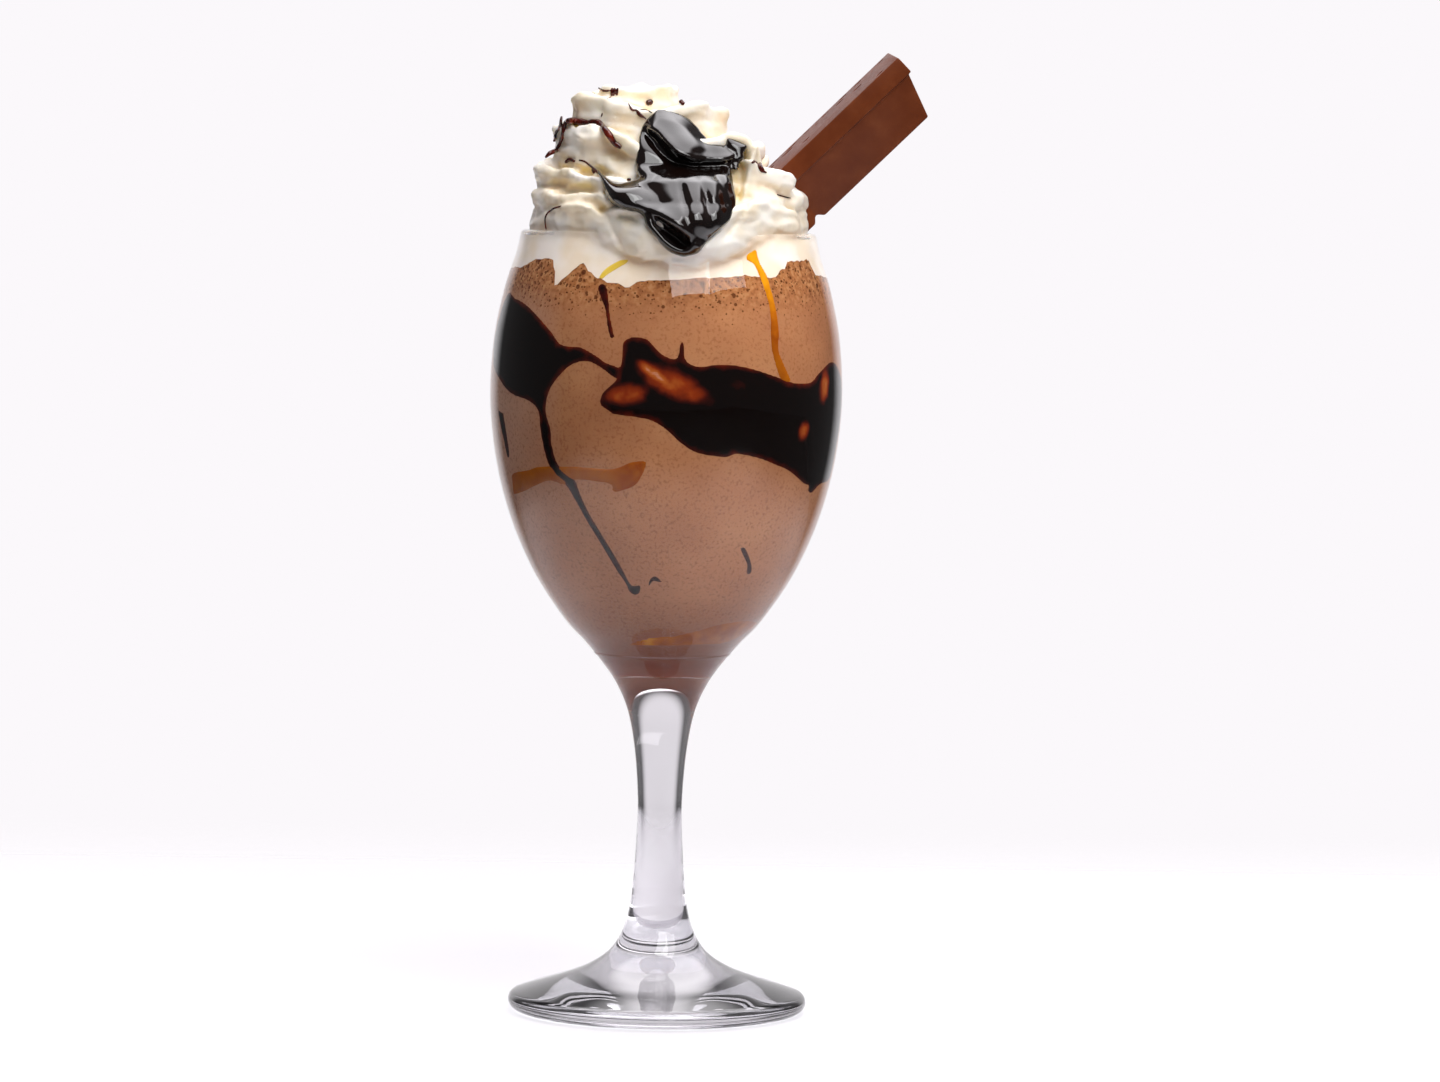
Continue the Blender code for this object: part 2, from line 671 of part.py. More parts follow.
def add_drizzles(cream, find):
    """Fuses the thick drizzle lines to the cream."""
    for k, line in enumerate(DRIZZLES):
        points = draped(line, find, DRIZZLE_RADIUS * 0.35, 3)
        curve = bpy.data.curves.new(f"drizzle_{k}", "CURVE")
        curve.dimensions = "3D"
        curve.bevel_depth = DRIZZLE_RADIUS * MM
        curve.bevel_resolution = 1
        curve.use_fill_caps = True
        spline = curve.splines.new("POLY")
        spline.points.add(len(points) - 1)
        for knot, point in zip(spline.points, points):
            knot.co = (*(point * MM), 1.0)
        holder = bpy.data.objects.new(f"drizzle_{k}", curve)
        bpy.context.scene.collection.objects.link(holder)
        tube = bpy.data.objects.new(f"drizzle_tube_{k}", bpy.data.meshes.new_from_object(
            holder.evaluated_get(bpy.context.evaluated_depsgraph_get())))
        bpy.context.scene.collection.objects.link(tube)
        bpy.data.objects.remove(holder)
        weld = bmesh.new()
        weld.from_mesh(tube.data)
        bmesh.ops.remove_doubles(weld, verts=weld.verts, dist=1e-6)
        bmesh.ops.recalc_face_normals(weld, faces=weld.faces)
        weld.to_mesh(tube.data)
        weld.free()
        join = cream.modifiers.new(f"join_{k}", "BOOLEAN")
        join.operation = "UNION"
        join.object = tube
        join.solver = "EXACT"
        apply_modifiers(cream)
        bpy.data.objects.remove(tube)


def bar_section(inset_side, inset_top, grow):
    """Half outline of the bar across its width, from the back up to the top, as (half width, height)."""
    half = BAR_WIDTH / 2 + grow
    draft = math.tan(math.radians(BAR_SIDE_DRAFT_DEG))
    shoulder = half - BAR_LIP_STEP - inset_side
    top = BAR_HEIGHT - inset_top + grow
    return [
        (half - BAR_BEVEL, -grow),
        (half, BAR_BEVEL - grow),
        (half, BAR_LIP_HEIGHT - BAR_BEVEL + grow),
        (half - BAR_BEVEL * 0.7, BAR_LIP_HEIGHT + grow),
        (shoulder, BAR_LIP_HEIGHT + 0.1 + grow),
        (shoulder - (top - BAR_LIP_HEIGHT - BAR_BEVEL) * draft, top - BAR_BEVEL),
        (shoulder - (top - BAR_LIP_HEIGHT) * draft - BAR_BEVEL, top),
    ]


def bar_stations(grow):
    """Places along the bar, from its far tip back, each with the section's insets there."""
    block, half_score = BAR_BLOCK_LENGTH, SCORE_WIDTH / 2
    score = block + half_score
    end = 2 * block + SCORE_WIDTH
    return [
        (-grow, 0.0, 0.0),
        (block, 0.0, 0.0),
        (score - 0.35 * half_score, SCORE_SIDE_DEPTH, SCORE_DEPTH),
        (score + 0.35 * half_score, SCORE_SIDE_DEPTH, SCORE_DEPTH),
        (block + SCORE_WIDTH, 0.0, 0.0),
        (end + grow, 0.0, 0.0),
    ]


def bar_body(grow=0.0):
    """The bar, along local X from its tip back, with its width on Y and its back at Z 0."""
    bm = bmesh.new()
    slope = math.tan(math.radians(BAR_END_DRAFT_DEG))
    stations = bar_stations(grow)
    rows = []
    for index, (x, inset_side, inset_top) in enumerate(stations):
        half = bar_section(inset_side, inset_top, grow)
        outline = [(-w, h) for w, h in half] + [(w, h) for w, h in reversed(half)]
        row = []
        for w, h in outline:
            above = max(0.0, h - BAR_LIP_HEIGHT - grow)
            step = BAR_LIP_STEP if above > 0 else 0.0
            back = 0.0
            if index == 0:
                back = step + above * slope
            elif index == len(stations) - 1:
                back = -(step + above * slope)
            row.append(bm.verts.new(((x + back) * MM, w * MM, h * MM)))
        rows.append(row)
    count = len(rows[0])
    for near, far in zip(rows, rows[1:]):
        for k in range(count):
            n = (k + 1) % count
            bm.faces.new((near[k], near[n], far[n], far[k]))
    for row in (rows[0], rows[-1]):
        pairs = count // 2
        for k in range(pairs - 1):
            bm.faces.new((row[k], row[k + 1], row[count - 2 - k], row[count - 1 - k]))
    bmesh.ops.recalc_face_normals(bm, faces=bm.faces)
    return bm


def bar_placement():
    """Where the bar leans: its tip up to the right, its back turned a little to the front."""
    angle, roll = math.radians(BAR_ANGLE_DEG), math.radians(BAR_ROLL_DEG)
    back_along = Vector((-math.cos(angle), 0, -math.sin(angle)))
    flat = Vector((-math.sin(angle), 0, math.cos(angle)))
    to_top = -(flat * math.cos(roll) + Vector((0, -1, 0)) * math.sin(roll))
    across = to_top.cross(back_along)
    turn = Matrix((back_along, across, to_top)).transposed().to_4x4()
    draft = math.tan(math.radians(BAR_SIDE_DRAFT_DEG)) * (BAR_HEIGHT - BAR_LIP_HEIGHT)
    end = BAR_LIP_STEP + math.tan(math.radians(BAR_END_DRAFT_DEG)) * (BAR_HEIGHT - BAR_LIP_HEIGHT)
    near = -1 if across.y > 0 else 1
    corner = Vector((end, near * (BAR_WIDTH / 2 - BAR_LIP_STEP - draft), BAR_HEIGHT))
    return Matrix.Translation((Vector(BAR_TIP) - turn.to_3x3() @ corner) * MM) @ turn


def make_bar(name, finish=None, grow=0.0):
    """The chocolate bar, placed in the drink."""
    bm = bar_body(grow)
    bmesh.ops.transform(bm, matrix=bar_placement(), verts=bm.verts)
    return add_object(name, bm, finish, 30 if finish else None)


def main():
    clear_scene()
    make_glass(material("clear_glass", "#f4f7f7", 0.02, 1.0))
    bar = make_bar("chocolate_bar", material("milk_chocolate", "#6b3a26", 0.35))
    bar_clearance = as_helper(make_bar("bar_clearance", grow=GAP))
    shake = add_object("milkshake", shake_body(GAP, 0.0), material("chocolate_milk", "#a06d50", 0.5), 40)
    shake_clearance = as_helper(add_object("shake_clearance", shake_body(-1.0, GAP)))
    cream = make_cream_mound(material("whipped_cream", "#f2ebe0", 0.6))
    find = surface_finder(cream)
    sauce = make_sauce(material("fudge", "#1a0a06", 0.12), find)
    cream.data.calc_loop_triangles()
    thin = cream.modifiers.new("thin", "DECIMATE")
    thin.ratio = CREAM_TRIANGLES / len(cream.data.loop_triangles)
    apply_modifiers(cream)
    add_drizzles(cream, find)
    cut(shake, bar_clearance)
    cut(cream, glass_clearance(), shake_clearance, bar_clearance, clearance_of(sauce))
    keep_largest(cream)
    cream.data.shade_smooth()
    sauce.data.shade_smooth()
    for obj in (bar, shake, cream, sauce):
        obj.data.update()


main()
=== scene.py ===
"""Dresses a chocolate milkshake: a stemmed glass, the drink and what runs down inside it, whipped cream,
fudge sauce and a chocolate bar.

Sizes are millimetres on the part's own axes: +Z up the glass's axis from the foot's underside, the front at
-Y, and the bar leaning out to +X. MM turns them into metres.
"""

import json
import logging
import math
import random
from dataclasses import dataclass, field
from enum import Enum
from typing import Any, Callable, Iterable, Sequence

import bmesh
import bpy
import numpy as np
from mathutils import Matrix, Vector, noise
from mathutils.bvhtree import BVHTree

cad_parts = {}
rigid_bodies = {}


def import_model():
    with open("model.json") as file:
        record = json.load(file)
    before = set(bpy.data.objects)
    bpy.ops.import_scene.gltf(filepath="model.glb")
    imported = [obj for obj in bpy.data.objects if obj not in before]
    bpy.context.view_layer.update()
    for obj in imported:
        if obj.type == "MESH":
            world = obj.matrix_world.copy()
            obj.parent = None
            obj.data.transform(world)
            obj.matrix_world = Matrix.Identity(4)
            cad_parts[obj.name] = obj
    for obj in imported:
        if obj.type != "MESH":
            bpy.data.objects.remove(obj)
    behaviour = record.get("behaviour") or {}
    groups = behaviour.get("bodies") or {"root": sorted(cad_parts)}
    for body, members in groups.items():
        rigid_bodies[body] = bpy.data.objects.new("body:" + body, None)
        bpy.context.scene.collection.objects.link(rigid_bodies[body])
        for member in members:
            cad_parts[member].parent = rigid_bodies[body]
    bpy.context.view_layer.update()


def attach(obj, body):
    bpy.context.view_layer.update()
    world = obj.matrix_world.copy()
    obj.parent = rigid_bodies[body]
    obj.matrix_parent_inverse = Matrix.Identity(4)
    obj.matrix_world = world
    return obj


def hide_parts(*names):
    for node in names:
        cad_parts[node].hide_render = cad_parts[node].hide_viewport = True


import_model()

MM = 0.001
BODY = "root"
log = logging.getLogger("milkshake")

Pair = tuple[float, float]
Outline = Sequence[Pair]
Stops = Sequence[tuple[float, str]]
Tree = bpy.types.NodeTree


class Shading(Enum):
    """How a finished mesh is shaded."""

    SOFT = "soft"
    CRISP = "crisp"


# Small tools


def linear(hex_colour: str) -> tuple[float, float, float, float]:
    """Turns an sRGB hex colour into linear RGBA.

    Args:
        hex_colour: Such as "#9c674b".

    Returns:
        Linear red, green, blue and an alpha of 1.
    """
    channels = [int(hex_colour[i : i + 2], 16) / 255 for i in (1, 3, 5)]
    made = [c / 12.92 if c <= 0.04045 else ((c + 0.055) / 1.055) ** 2.4 for c in channels]
    return (made[0], made[1], made[2], 1.0)


def smooth_line(points: Sequence[Sequence[float]], steps: int) -> list[tuple[float, ...]]:
    """Runs a Catmull-Rom curve through points of any dimension.

    Args:
        points: The points to pass through.
        steps: How many steps each span is cut into.

    Returns:
        The curve's points, both ends included.
    """
    first = [2 * a - b for a, b in zip(points[0], points[1])]
    last = [2 * a - b for a, b in zip(points[-1], points[-2])]
    held = [first, *points, last]
    line: list[tuple[float, ...]] = []
    for i in range(1, len(held) - 2):
        p0, p1, p2, p3 = held[i - 1 : i + 3]
        for k in range(steps):
            t = k / steps
            spot = []
            for a, b, c, d in zip(p0, p1, p2, p3):
                bend, twist = 2 * a - 5 * b + 4 * c - d, 3 * b - a - 3 * c + d
                spot.append(0.5 * (2 * b + (c - a) * t + bend * t**2 + twist * t**3))
            line.append(tuple(spot))
    line.append(tuple(points[-1]))
    return line


def closed_line(points: Sequence[Sequence[float]], steps: int = 8) -> list[tuple[float, ...]]:
    """Runs a smooth closed outline through points.

    Args:
        points: The corners, in order round the outline.
        steps: How many steps each span is cut into.

    Returns:
        The outline's points, without the first repeated.
    """
    return smooth_line((*points[-2:], *points, *points[:2]), steps)[2 * steps : -2 * steps - 1]


def along_table(table: Outline, x: float) -> float:
    """Reads a table of pairs, eased between its rows.

    Args:
        table: Pairs of place and value, by rising place.
        x: The place to read at.

    Returns:
        The value there.
    """
    for (x0, v0), (x1, v1) in zip(table, table[1:]):
        if x <= x1:
            t = max(0.0, (x - x0) / (x1 - x0))
            return v0 + (v1 - v0) * t * t * (3 - 2 * t)
    return table[-1][1]


def pick_only(obj: bpy.types.Object) -> bpy.types.Object:
    """Selects one object alone and makes it active.

    Args:
        obj: The object.

    Returns:
        The same object.
    """
    for other in bpy.context.view_layer.objects:
        other.select_set(False)
    obj.hide_set(False)
    obj.select_set(True)
    bpy.context.view_layer.objects.active = obj
    return obj


def pick_none() -> None:
    """Deselects everything, before a primitive is added."""
    for other in bpy.context.view_layer.objects:
        other.select_set(False)


def modify(obj: bpy.types.Object, kind: str, **settings: Any) -> bpy.types.Object:
    """Adds a modifier, sets it and applies it.

    Args:
        obj: The object to change.
        kind: The modifier's type, such as "BEVEL".
        **settings: Its settings by name.

    Returns:
        The same object.
    """
    pick_only(obj)
    bpy.ops.object.modifier_add(type=kind)
    modifier = obj.modifiers[-1]
    for name, value in settings.items():
        setattr(modifier, name, value)
    bpy.ops.object.modifier_apply(modifier=modifier.name)
    return obj


def join(name: str, parts: Sequence[bpy.types.Object]) -> bpy.types.Object:
    """Joins meshes into one object of the given name.

    Args:
        name: The name.
        parts: The meshes, of which the first is kept.

    Returns:
        The joined object.
    """
    pick_only(parts[0])
    for part in parts:
        part.select_set(True)
    if len(parts) > 1:
        bpy.ops.object.join()
    parts[0].name = name
    parts[0].data.name = name
    return parts[0]


def close_and_turn_out(obj: bpy.types.Object) -> bpy.types.Object:
    """Merges doubled points and turns every face outwards.

    Args:
        obj: The mesh.

    Returns:
        The same mesh.
    """
    pick_only(obj)
    bpy.ops.object.mode_set(mode="EDIT")
    bpy.ops.mesh.select_all(action="SELECT")
    bpy.ops.mesh.remove_doubles(threshold=1e-6)
    bpy.ops.mesh.normals_make_consistent(inside=False)
    bpy.ops.object.mode_set(mode="OBJECT")
    return obj


def settle(obj: bpy.types.Object) -> bpy.types.Object:
    """Puts an object's place, turn and scale into its mesh.

    Args:
        obj: The object.

    Returns:
        The same object.
    """
    pick_only(obj)
    bpy.ops.object.transform_apply(location=True, rotation=True, scale=True)
    return obj


def select_points(obj: bpy.types.Object, mask: np.ndarray) -> None:
    """Selects just the mesh's points that the mask names, ready for edit mode.

    Args:
        obj: The mesh.
        mask: True for each point to select.
    """
    pick_only(obj)
    bpy.ops.object.mode_set(mode="EDIT")
    bpy.ops.mesh.select_mode(type="VERT")
    bpy.ops.mesh.select_all(action="DESELECT")
    bpy.ops.object.mode_set(mode="OBJECT")
    obj.data.vertices.foreach_set("select", np.ascontiguousarray(mask))


def read_points(obj: bpy.types.Object) -> np.ndarray:
    """The mesh's points as an array, in millimetres.

    Args:
        obj: The mesh.

    Returns:
        One row for each point.
    """
    flat = np.empty(len(obj.data.vertices) * 3)
    obj.data.vertices.foreach_get("co", flat)
    return flat.reshape(-1, 3) / MM


def place_points(obj: bpy.types.Object, points: np.ndarray) -> None:
    """Moves the mesh's points, given in millimetres."""
    obj.data.vertices.foreach_set("co", (points * MM).ravel())
    obj.data.update()


def paint(obj: bpy.types.Object, name: str, values: np.ndarray) -> None:
    """Stores a number for each point, which a material reads by name."""
    layer = obj.data.attributes.new(name, "FLOAT", "POINT")
    layer.data.foreach_set("value", np.ascontiguousarray(values, dtype=np.float32))


def keep_largest(obj: bpy.types.Object) -> bpy.types.Object:
    """Drops every loose scrap but the largest piece of a mesh.

    Args:
        obj: The mesh.

    Returns:
        The same mesh.
    """
    bm = bmesh.new()
    bm.from_mesh(obj.data)
    seen: set[int] = set()
    islands: list[list[bmesh.types.BMVert]] = []
    for start in bm.verts:
        if start.index in seen:
            continue
        seen.add(start.index)
        stack, island = [start], [start]
        while stack:
            for edge in stack.pop().link_edges:
                for vert in edge.verts:
                    if vert.index not in seen:
                        seen.add(vert.index)
                        stack.append(vert)
                        island.append(vert)
        islands.append(island)
    islands.sort(key=len)
    bmesh.ops.delete(bm, geom=[v for island in islands[:-1] for v in island], context="VERTS")
    bm.to_mesh(obj.data)
    bm.free()
    return obj


def dress(
    obj: bpy.types.Object,
    finish: bpy.types.Material,
    slot: str,
    replaces: str | None = None,
    shading: Shading = Shading.SOFT,
) -> bpy.types.Object:
    """Gives a piece its finish and its body.

    Args:
        obj: The finished piece.
        finish: Its material.
        slot: Not used.
        replaces: The CAD node that it stands for, if any.
        shading: Soft all over, or crisp along edges over 30 degrees.

    Returns:
        The same piece.
    """
    obj.data.materials.clear()
    obj.data.materials.append(finish)
    pick_only(obj)
    if shading is Shading.SOFT:
        bpy.ops.object.shade_smooth()
    else:
        bpy.ops.object.shade_smooth_by_angle(angle=math.radians(30))
    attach(obj, BODY)
    if replaces:
        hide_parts(replaces)
    log.info("%s: %d points, %s", obj.name, len(obj.data.vertices), finish.name)
    return obj


# Distances and outlines


def nearest_on(line: Sequence[Sequence[float]], points: np.ndarray) -> tuple[np.ndarray, np.ndarray]:
    """Measures points against a line of segments.

    Args:
        line: The line's points.
        points: The points to measure, one row each.

    Returns:
        The distance to the line, and the vector from it to each point.
    """
    best = np.full(len(points), np.inf)
    away = np.zeros_like(points)
    for start, end in zip(line, line[1:]):
        a, b = np.array(start[:2]), np.array(end[:2])
        along = np.clip(((points - a) @ (b - a)) / max(1e-9, (b - a) @ (b - a)), 0, 1)
        gap = points - (a + along[:, None] * (b - a))
        distance = np.hypot(gap[:, 0], gap[:, 1])
        closer = distance < best
        best[closer] = distance[closer]
        away[closer] = gap[closer]
    return best, away


def inside(outline: Sequence[Sequence[float]], points: np.ndarray) -> np.ndarray:
    """Says which points a closed outline holds.

    Args:
        outline: The outline's points.
        points: The points to test, one row each.

    Returns:
        True for each point inside.
    """
    held = np.zeros(len(points), dtype=bool)
    for (x0, z0), (x1, z1) in zip(outline, [*outline[1:], outline[0]]):
        if z0 == z1:
            continue
        spans = (points[:, 1] > min(z0, z1)) & (points[:, 1] <= max(z0, z1))
        held ^= spans & (points[:, 0] < x0 + (points[:, 1] - z0) / (z1 - z0) * (x1 - x0))
    return held


def depth_within(outlines: Iterable[Outline], points: np.ndarray) -> np.ndarray:
    """Measures how far inside the outlines each point is.

    Args:
        outlines: Closed outlines.
        points: The points to measure.

    Returns:
        The distance in from the nearest edge, below zero outside.
    """
    depth = np.full(len(points), -1e9)
    for outline in outlines:
        distance, _ = nearest_on([*outline, outline[0]], points)
        depth = np.maximum(depth, np.where(inside(outline, points), distance, -distance))
    return depth


def oval_reach(places: np.ndarray, centre: Sequence[float], axes: Pair, turn_deg: float) -> np.ndarray:
    """Measures places against a turned oval.

    Args:
        places: The points to measure, one row each.
        centre: The oval's middle.
        axes: Half its length and half its width.
        turn_deg: How far its length is turned from level.

    Returns:
        0 in the middle, 1 on the edge and more outside, rising with the square of the distance.
    """
    turn = math.radians(turn_deg)
    gap = places - centre
    along = gap[:, 0] * math.cos(turn) + gap[:, 1] * math.sin(turn)
    across = gap[:, 1] * math.cos(turn) - gap[:, 0] * math.sin(turn)
    return (along / axes[0]) ** 2 + (across / axes[1]) ** 2


# Finishes


def add_node(tree: Tree, kind: str, inputs: dict[Any, Any] | None = None, **settings: Any) -> Any:
    """Adds a shader node with its settings and links.

    Args:
        tree: The material's node tree.
        kind: The node's type.
        inputs: Values or output sockets, by the input's name or number.
        **settings: The node's own settings by name.

    Returns:
        The node.
    """
    made = tree.nodes.new(kind)
    for name, value in settings.items():
        setattr(made, name, value)
    for key, value in (inputs or {}).items():
        if isinstance(value, bpy.types.NodeSocket):
            tree.links.new(value, made.inputs[key])
        else:
            made.inputs[key].default_value = value
    return made


def noise_of(tree: Tree, place: Any, size_mm: float, detail: float) -> Any:
    """Cloudy noise from 0 to 1.

    Args:
        tree: The node tree.
        place: The object coordinates.
        size_mm: How far apart its swells are.
        detail: How much finer noise lies on them.

    Returns:
        The noise.
    """
    inputs = {"Vector": place, "Scale": 1 / (size_mm * MM), "Detail": detail}
    return add_node(tree, "ShaderNodeTexNoise", inputs).outputs["Fac"]


def mapped(tree: Tree, value: Any, source: Pair, target: Pair = (0.0, 1.0), eased: bool = False) -> Any:
    """Moves a value from one range to another and holds it at the ends.

    Args:
        tree: The node tree.
        value: The value to move.
        source: The range that it comes from.
        target: The range that it goes to.
        eased: Whether the change starts and ends softly.

    Returns:
        The moved value.
    """
    (low, high), (to_low, to_high) = source, target
    inputs = {"Value": value, "From Min": low, "From Max": high, "To Min": to_low, "To Max": to_high}
    kind = "SMOOTHSTEP" if eased else "LINEAR"
    return add_node(tree, "ShaderNodeMapRange", inputs, interpolation_type=kind).outputs["Result"]


def maths(tree: Tree, operation: str, *values: Any) -> Any:
    """Works out one sum, such as "MULTIPLY", from values or sockets."""
    return add_node(tree, "ShaderNodeMath", dict(enumerate(values)), operation=operation).outputs[0]


def mixed(tree: Tree, share: Any, first: Any, second: Any, blend: str = "MIX") -> Any:
    """Mixes the second colour into the first by a share from 0 to 1."""
    inputs = {0: share, "A": first, "B": second}
    return add_node(tree, "ShaderNodeMix", inputs, data_type="RGBA", blend_type=blend).outputs["Result"]


def ramped(tree: Tree, value: Any, stops: Sequence[tuple[float, str]]) -> Any:
    """Turns a value into a colour.

    Args:
        tree: The node tree.
        value: The value from 0 to 1.
        stops: Places on the ramp and their hex colours.

    Returns:
        The colour.
    """
    node = add_node(tree, "ShaderNodeValToRGB", {"Fac": value})
    ramp = node.color_ramp
    while len(ramp.elements) < len(stops):
        ramp.elements.new(0.5)
    for element, (place, colour) in zip(ramp.elements, stops):
        element.position = place
        element.color = linear(colour)
    return node.outputs[0]


@dataclass(frozen=True)
class Finish:
    """What every finish shares: a name and an empty Principled material to fill."""

    name: str

    def blank(self, **constants: float) -> tuple[bpy.types.Material, Any, Any, Any]:
        """Starts the material.

        Args:
            **constants: Values for the shader's sockets, with _ in place of a space.

        Returns:
            The material, its node tree, its Principled shader and the object coordinates.
        """
        material = bpy.data.materials.new(self.name)
        material.use_nodes = True
        tree = material.node_tree
        shader = tree.nodes["Principled BSDF"]
        for socket, value in constants.items():
            shader.inputs[socket.replace("_", " ")].default_value = value
        return material, tree, shader, add_node(tree, "ShaderNodeTexCoord").outputs["Object"]


@dataclass(frozen=True)
class SodaLimeGlass(Finish):
    """Pressed soda-lime glass: clear, with hard highlights, and painted shade that makes it greyer in the foot
    and stem.
    """

    name: str = "soda_lime_glass"
    smear_mm: float = 14.0
    tint_top_mm: float = 100.0
    # Painted shade: greyer low down in the foot and stem, clear higher up, standing in for the dim surroundings
    # seen through them.
    painted_shade_tints: Stops = ((0.1, "#cbc9cd"), (0.22, "#dedce0"), (0.7, "#dfdde1"), (0.88, "#f2f0f4"))
    smear_roughness: Pair = (0.0, 0.012)

    def build(self) -> bpy.types.Material:
        """Makes the material. Lamps shine through it, so that what stands inside is lit.

        Returns:
            The material.
        """
        material, tree, shader, place = self.blank(Transmission_Weight=1.0, IOR=1.5)
        height = add_node(tree, "ShaderNodeSeparateXYZ", {"Vector": place}).outputs["Z"]
        # Painted shade by height: grey in the foot and stem, clear in the bowl.
        tint = ramped(tree, mapped(tree, height, (0.0, self.tint_top_mm * MM)), self.painted_shade_tints)
        tree.links.new(tint, shader.inputs["Base Color"])
        smear = noise_of(tree, place, self.smear_mm, 3.0)
        tree.links.new(mapped(tree, smear, (0.4, 0.7), self.smear_roughness), shader.inputs["Roughness"])
        path = add_node(tree, "ShaderNodeLightPath")
        clear = add_node(tree, "ShaderNodeBsdfTransparent", {"Color": (0.96, 0.97, 0.97, 1.0)})
        inputs = {0: path.outputs["Is Shadow Ray"], 1: shader.outputs[0], 2: clear.outputs[0]}
        both = add_node(tree, "ShaderNodeMixShader", inputs)
        tree.links.new(both.outputs[0], tree.nodes["Material Output"].inputs["Surface"])
        return material


@dataclass(frozen=True)
class ChocolateMilk(Finish):
    """Blended chocolate milk: matt pinkish brown with cocoa specks, and small dark bubbles under its foam."""

    name: str = "blended_chocolate_milk"
    cloud_mm: float = 22.0
    high: Stops = ((0.3, "#9d6946"), (0.5, "#ab754f"), (0.72, "#b78258"))
    # Painted light: a lighter ramp for the lower bowl, standing in for light thrown up from the white table.
    painted_bounce_light: Stops = ((0.3, "#b67c58"), (0.5, "#c08660"), (0.72, "#ca926b"))
    painted_bounce_mm: Pair = (150.0, 108.0)
    # Painted light: a pale wash over the drink's left side, for the lighter edge of the bowl there.
    painted_side_light: str = "#d9b6a2"
    painted_side_light_mm: Pair = (-24.0, -42.0)
    painted_side_light_share: float = 0.6
    speck: str = "#7c4a30"
    speck_mm: float = 0.7
    speck_share: float = 0.45
    froth: Stops = ((0.36, "#83502b"), (0.5, "#a66c40"), (0.64, "#be8958"))
    froth_mm: float = 1.3
    foam_mm: Pair = (171.0, 178.0)
    foam_share: float = 0.8
    bubble: str = "#4f270f"
    bubble_share: float = 0.8
    bubble_widths: Pair = (0.12, 0.38)
    bubble_top_mm: float = 181.0
    bubble_sizes: Sequence[Sequence[float]] = ((1.9, 174.0, 0.8), (1.2, 171.5, 1.1), (0.8, 169.0, 1.1))
    # Painted shade: darker red-brown towards the bottom, where the drink is seen through thick glass.
    bottom: str = "#681c00"
    bottom_mm: Pair = (84.0, 104.0)

    def bubbles(self, tree: Tree, place: Any, height: Any, under: Any, sizes: Sequence[float]) -> Any:
        """Adds dark round bubbles that thin out downwards.

        Args:
            tree: The material's node tree.
            place: The object coordinates.
            height: The height above the foot, in metres.
            under: The colour below the bubbles.
            sizes: The spacing, the height of the lowest bubbles and the share of cells filled at the top.

        Returns:
            The colour with bubbles.
        """
        spacing, lowest, share = sizes
        cell = add_node(tree, "ShaderNodeTexVoronoi", {"Vector": place, "Scale": 1 / (spacing * MM)})
        draws = add_node(tree, "ShaderNodeSeparateColor", {"Color": cell.outputs["Color"]})
        width = mapped(tree, draws.outputs[1], (0.0, 1.0), self.bubble_widths)
        hole = maths(tree, "LESS_THAN", cell.outputs["Distance"], width)
        filled = mapped(tree, height, (lowest * MM, self.bubble_top_mm * MM), (0.0, share))
        chosen = maths(tree, "LESS_THAN", draws.outputs[0], filled)
        part = maths(tree, "MULTIPLY", maths(tree, "MULTIPLY", chosen, hole), self.bubble_share)
        return mixed(tree, part, under, linear(self.bubble))

    def build(self) -> bpy.types.Material:
        """Makes the material.

        Returns:
            The material.
        """
        material, tree, shader, place = self.blank(
            Roughness=0.5, Specular_IOR_Level=0.0, Subsurface_Weight=0.15, Subsurface_Scale=1.0
        )
        shader.inputs["Subsurface Radius"].default_value = (3 * MM, 1.6 * MM, 0.9 * MM)
        axes = add_node(tree, "ShaderNodeSeparateXYZ", {"Vector": place})
        height = axes.outputs["Z"]

        def over(limits: Pair, most: float = 1.0, along: Any = height) -> Any:
            """A share that rises between two heights, or places along another axis, in millimetres."""
            return mapped(tree, along, (limits[0] * MM, limits[1] * MM), (0.0, most))

        cloud = noise_of(tree, place, self.cloud_mm, 4.0)
        high, painted_bounce_light = ramped(tree, cloud, self.high), ramped(tree, cloud, self.painted_bounce_light)
        # Painted light: the drink turns lighter lower down, in place of the table's bounced light.
        shade = mixed(tree, over(self.painted_bounce_mm), high, painted_bounce_light)
        # Painted light: paler towards the left side of the drink.
        painted_side_light_mask = over(self.painted_side_light_mm, self.painted_side_light_share, axes.outputs["X"])
        shade = mixed(tree, painted_side_light_mask, shade, linear(self.painted_side_light))
        specks = mapped(tree, noise_of(tree, place, self.speck_mm, 2.0), (0.52, 0.7), (0.0, self.speck_share))
        shade = mixed(tree, specks, shade, linear(self.speck))
        frothy = ramped(tree, noise_of(tree, place, self.froth_mm, 3.0), self.froth)
        shade = mixed(tree, over(self.foam_mm, self.foam_share), shade, frothy)
        for sizes in self.bubble_sizes:
            shade = self.bubbles(tree, place, height, shade, sizes)
        # Painted shade: darker towards the bottom of the bowl.
        low, top = self.bottom_mm
        bottom = mapped(tree, height, (low * MM, top * MM), (1.0, 0.0))
        shade = mixed(tree, bottom, shade, linear(self.bottom))
        tree.links.new(shade, shader.inputs["Base Color"])
        return material


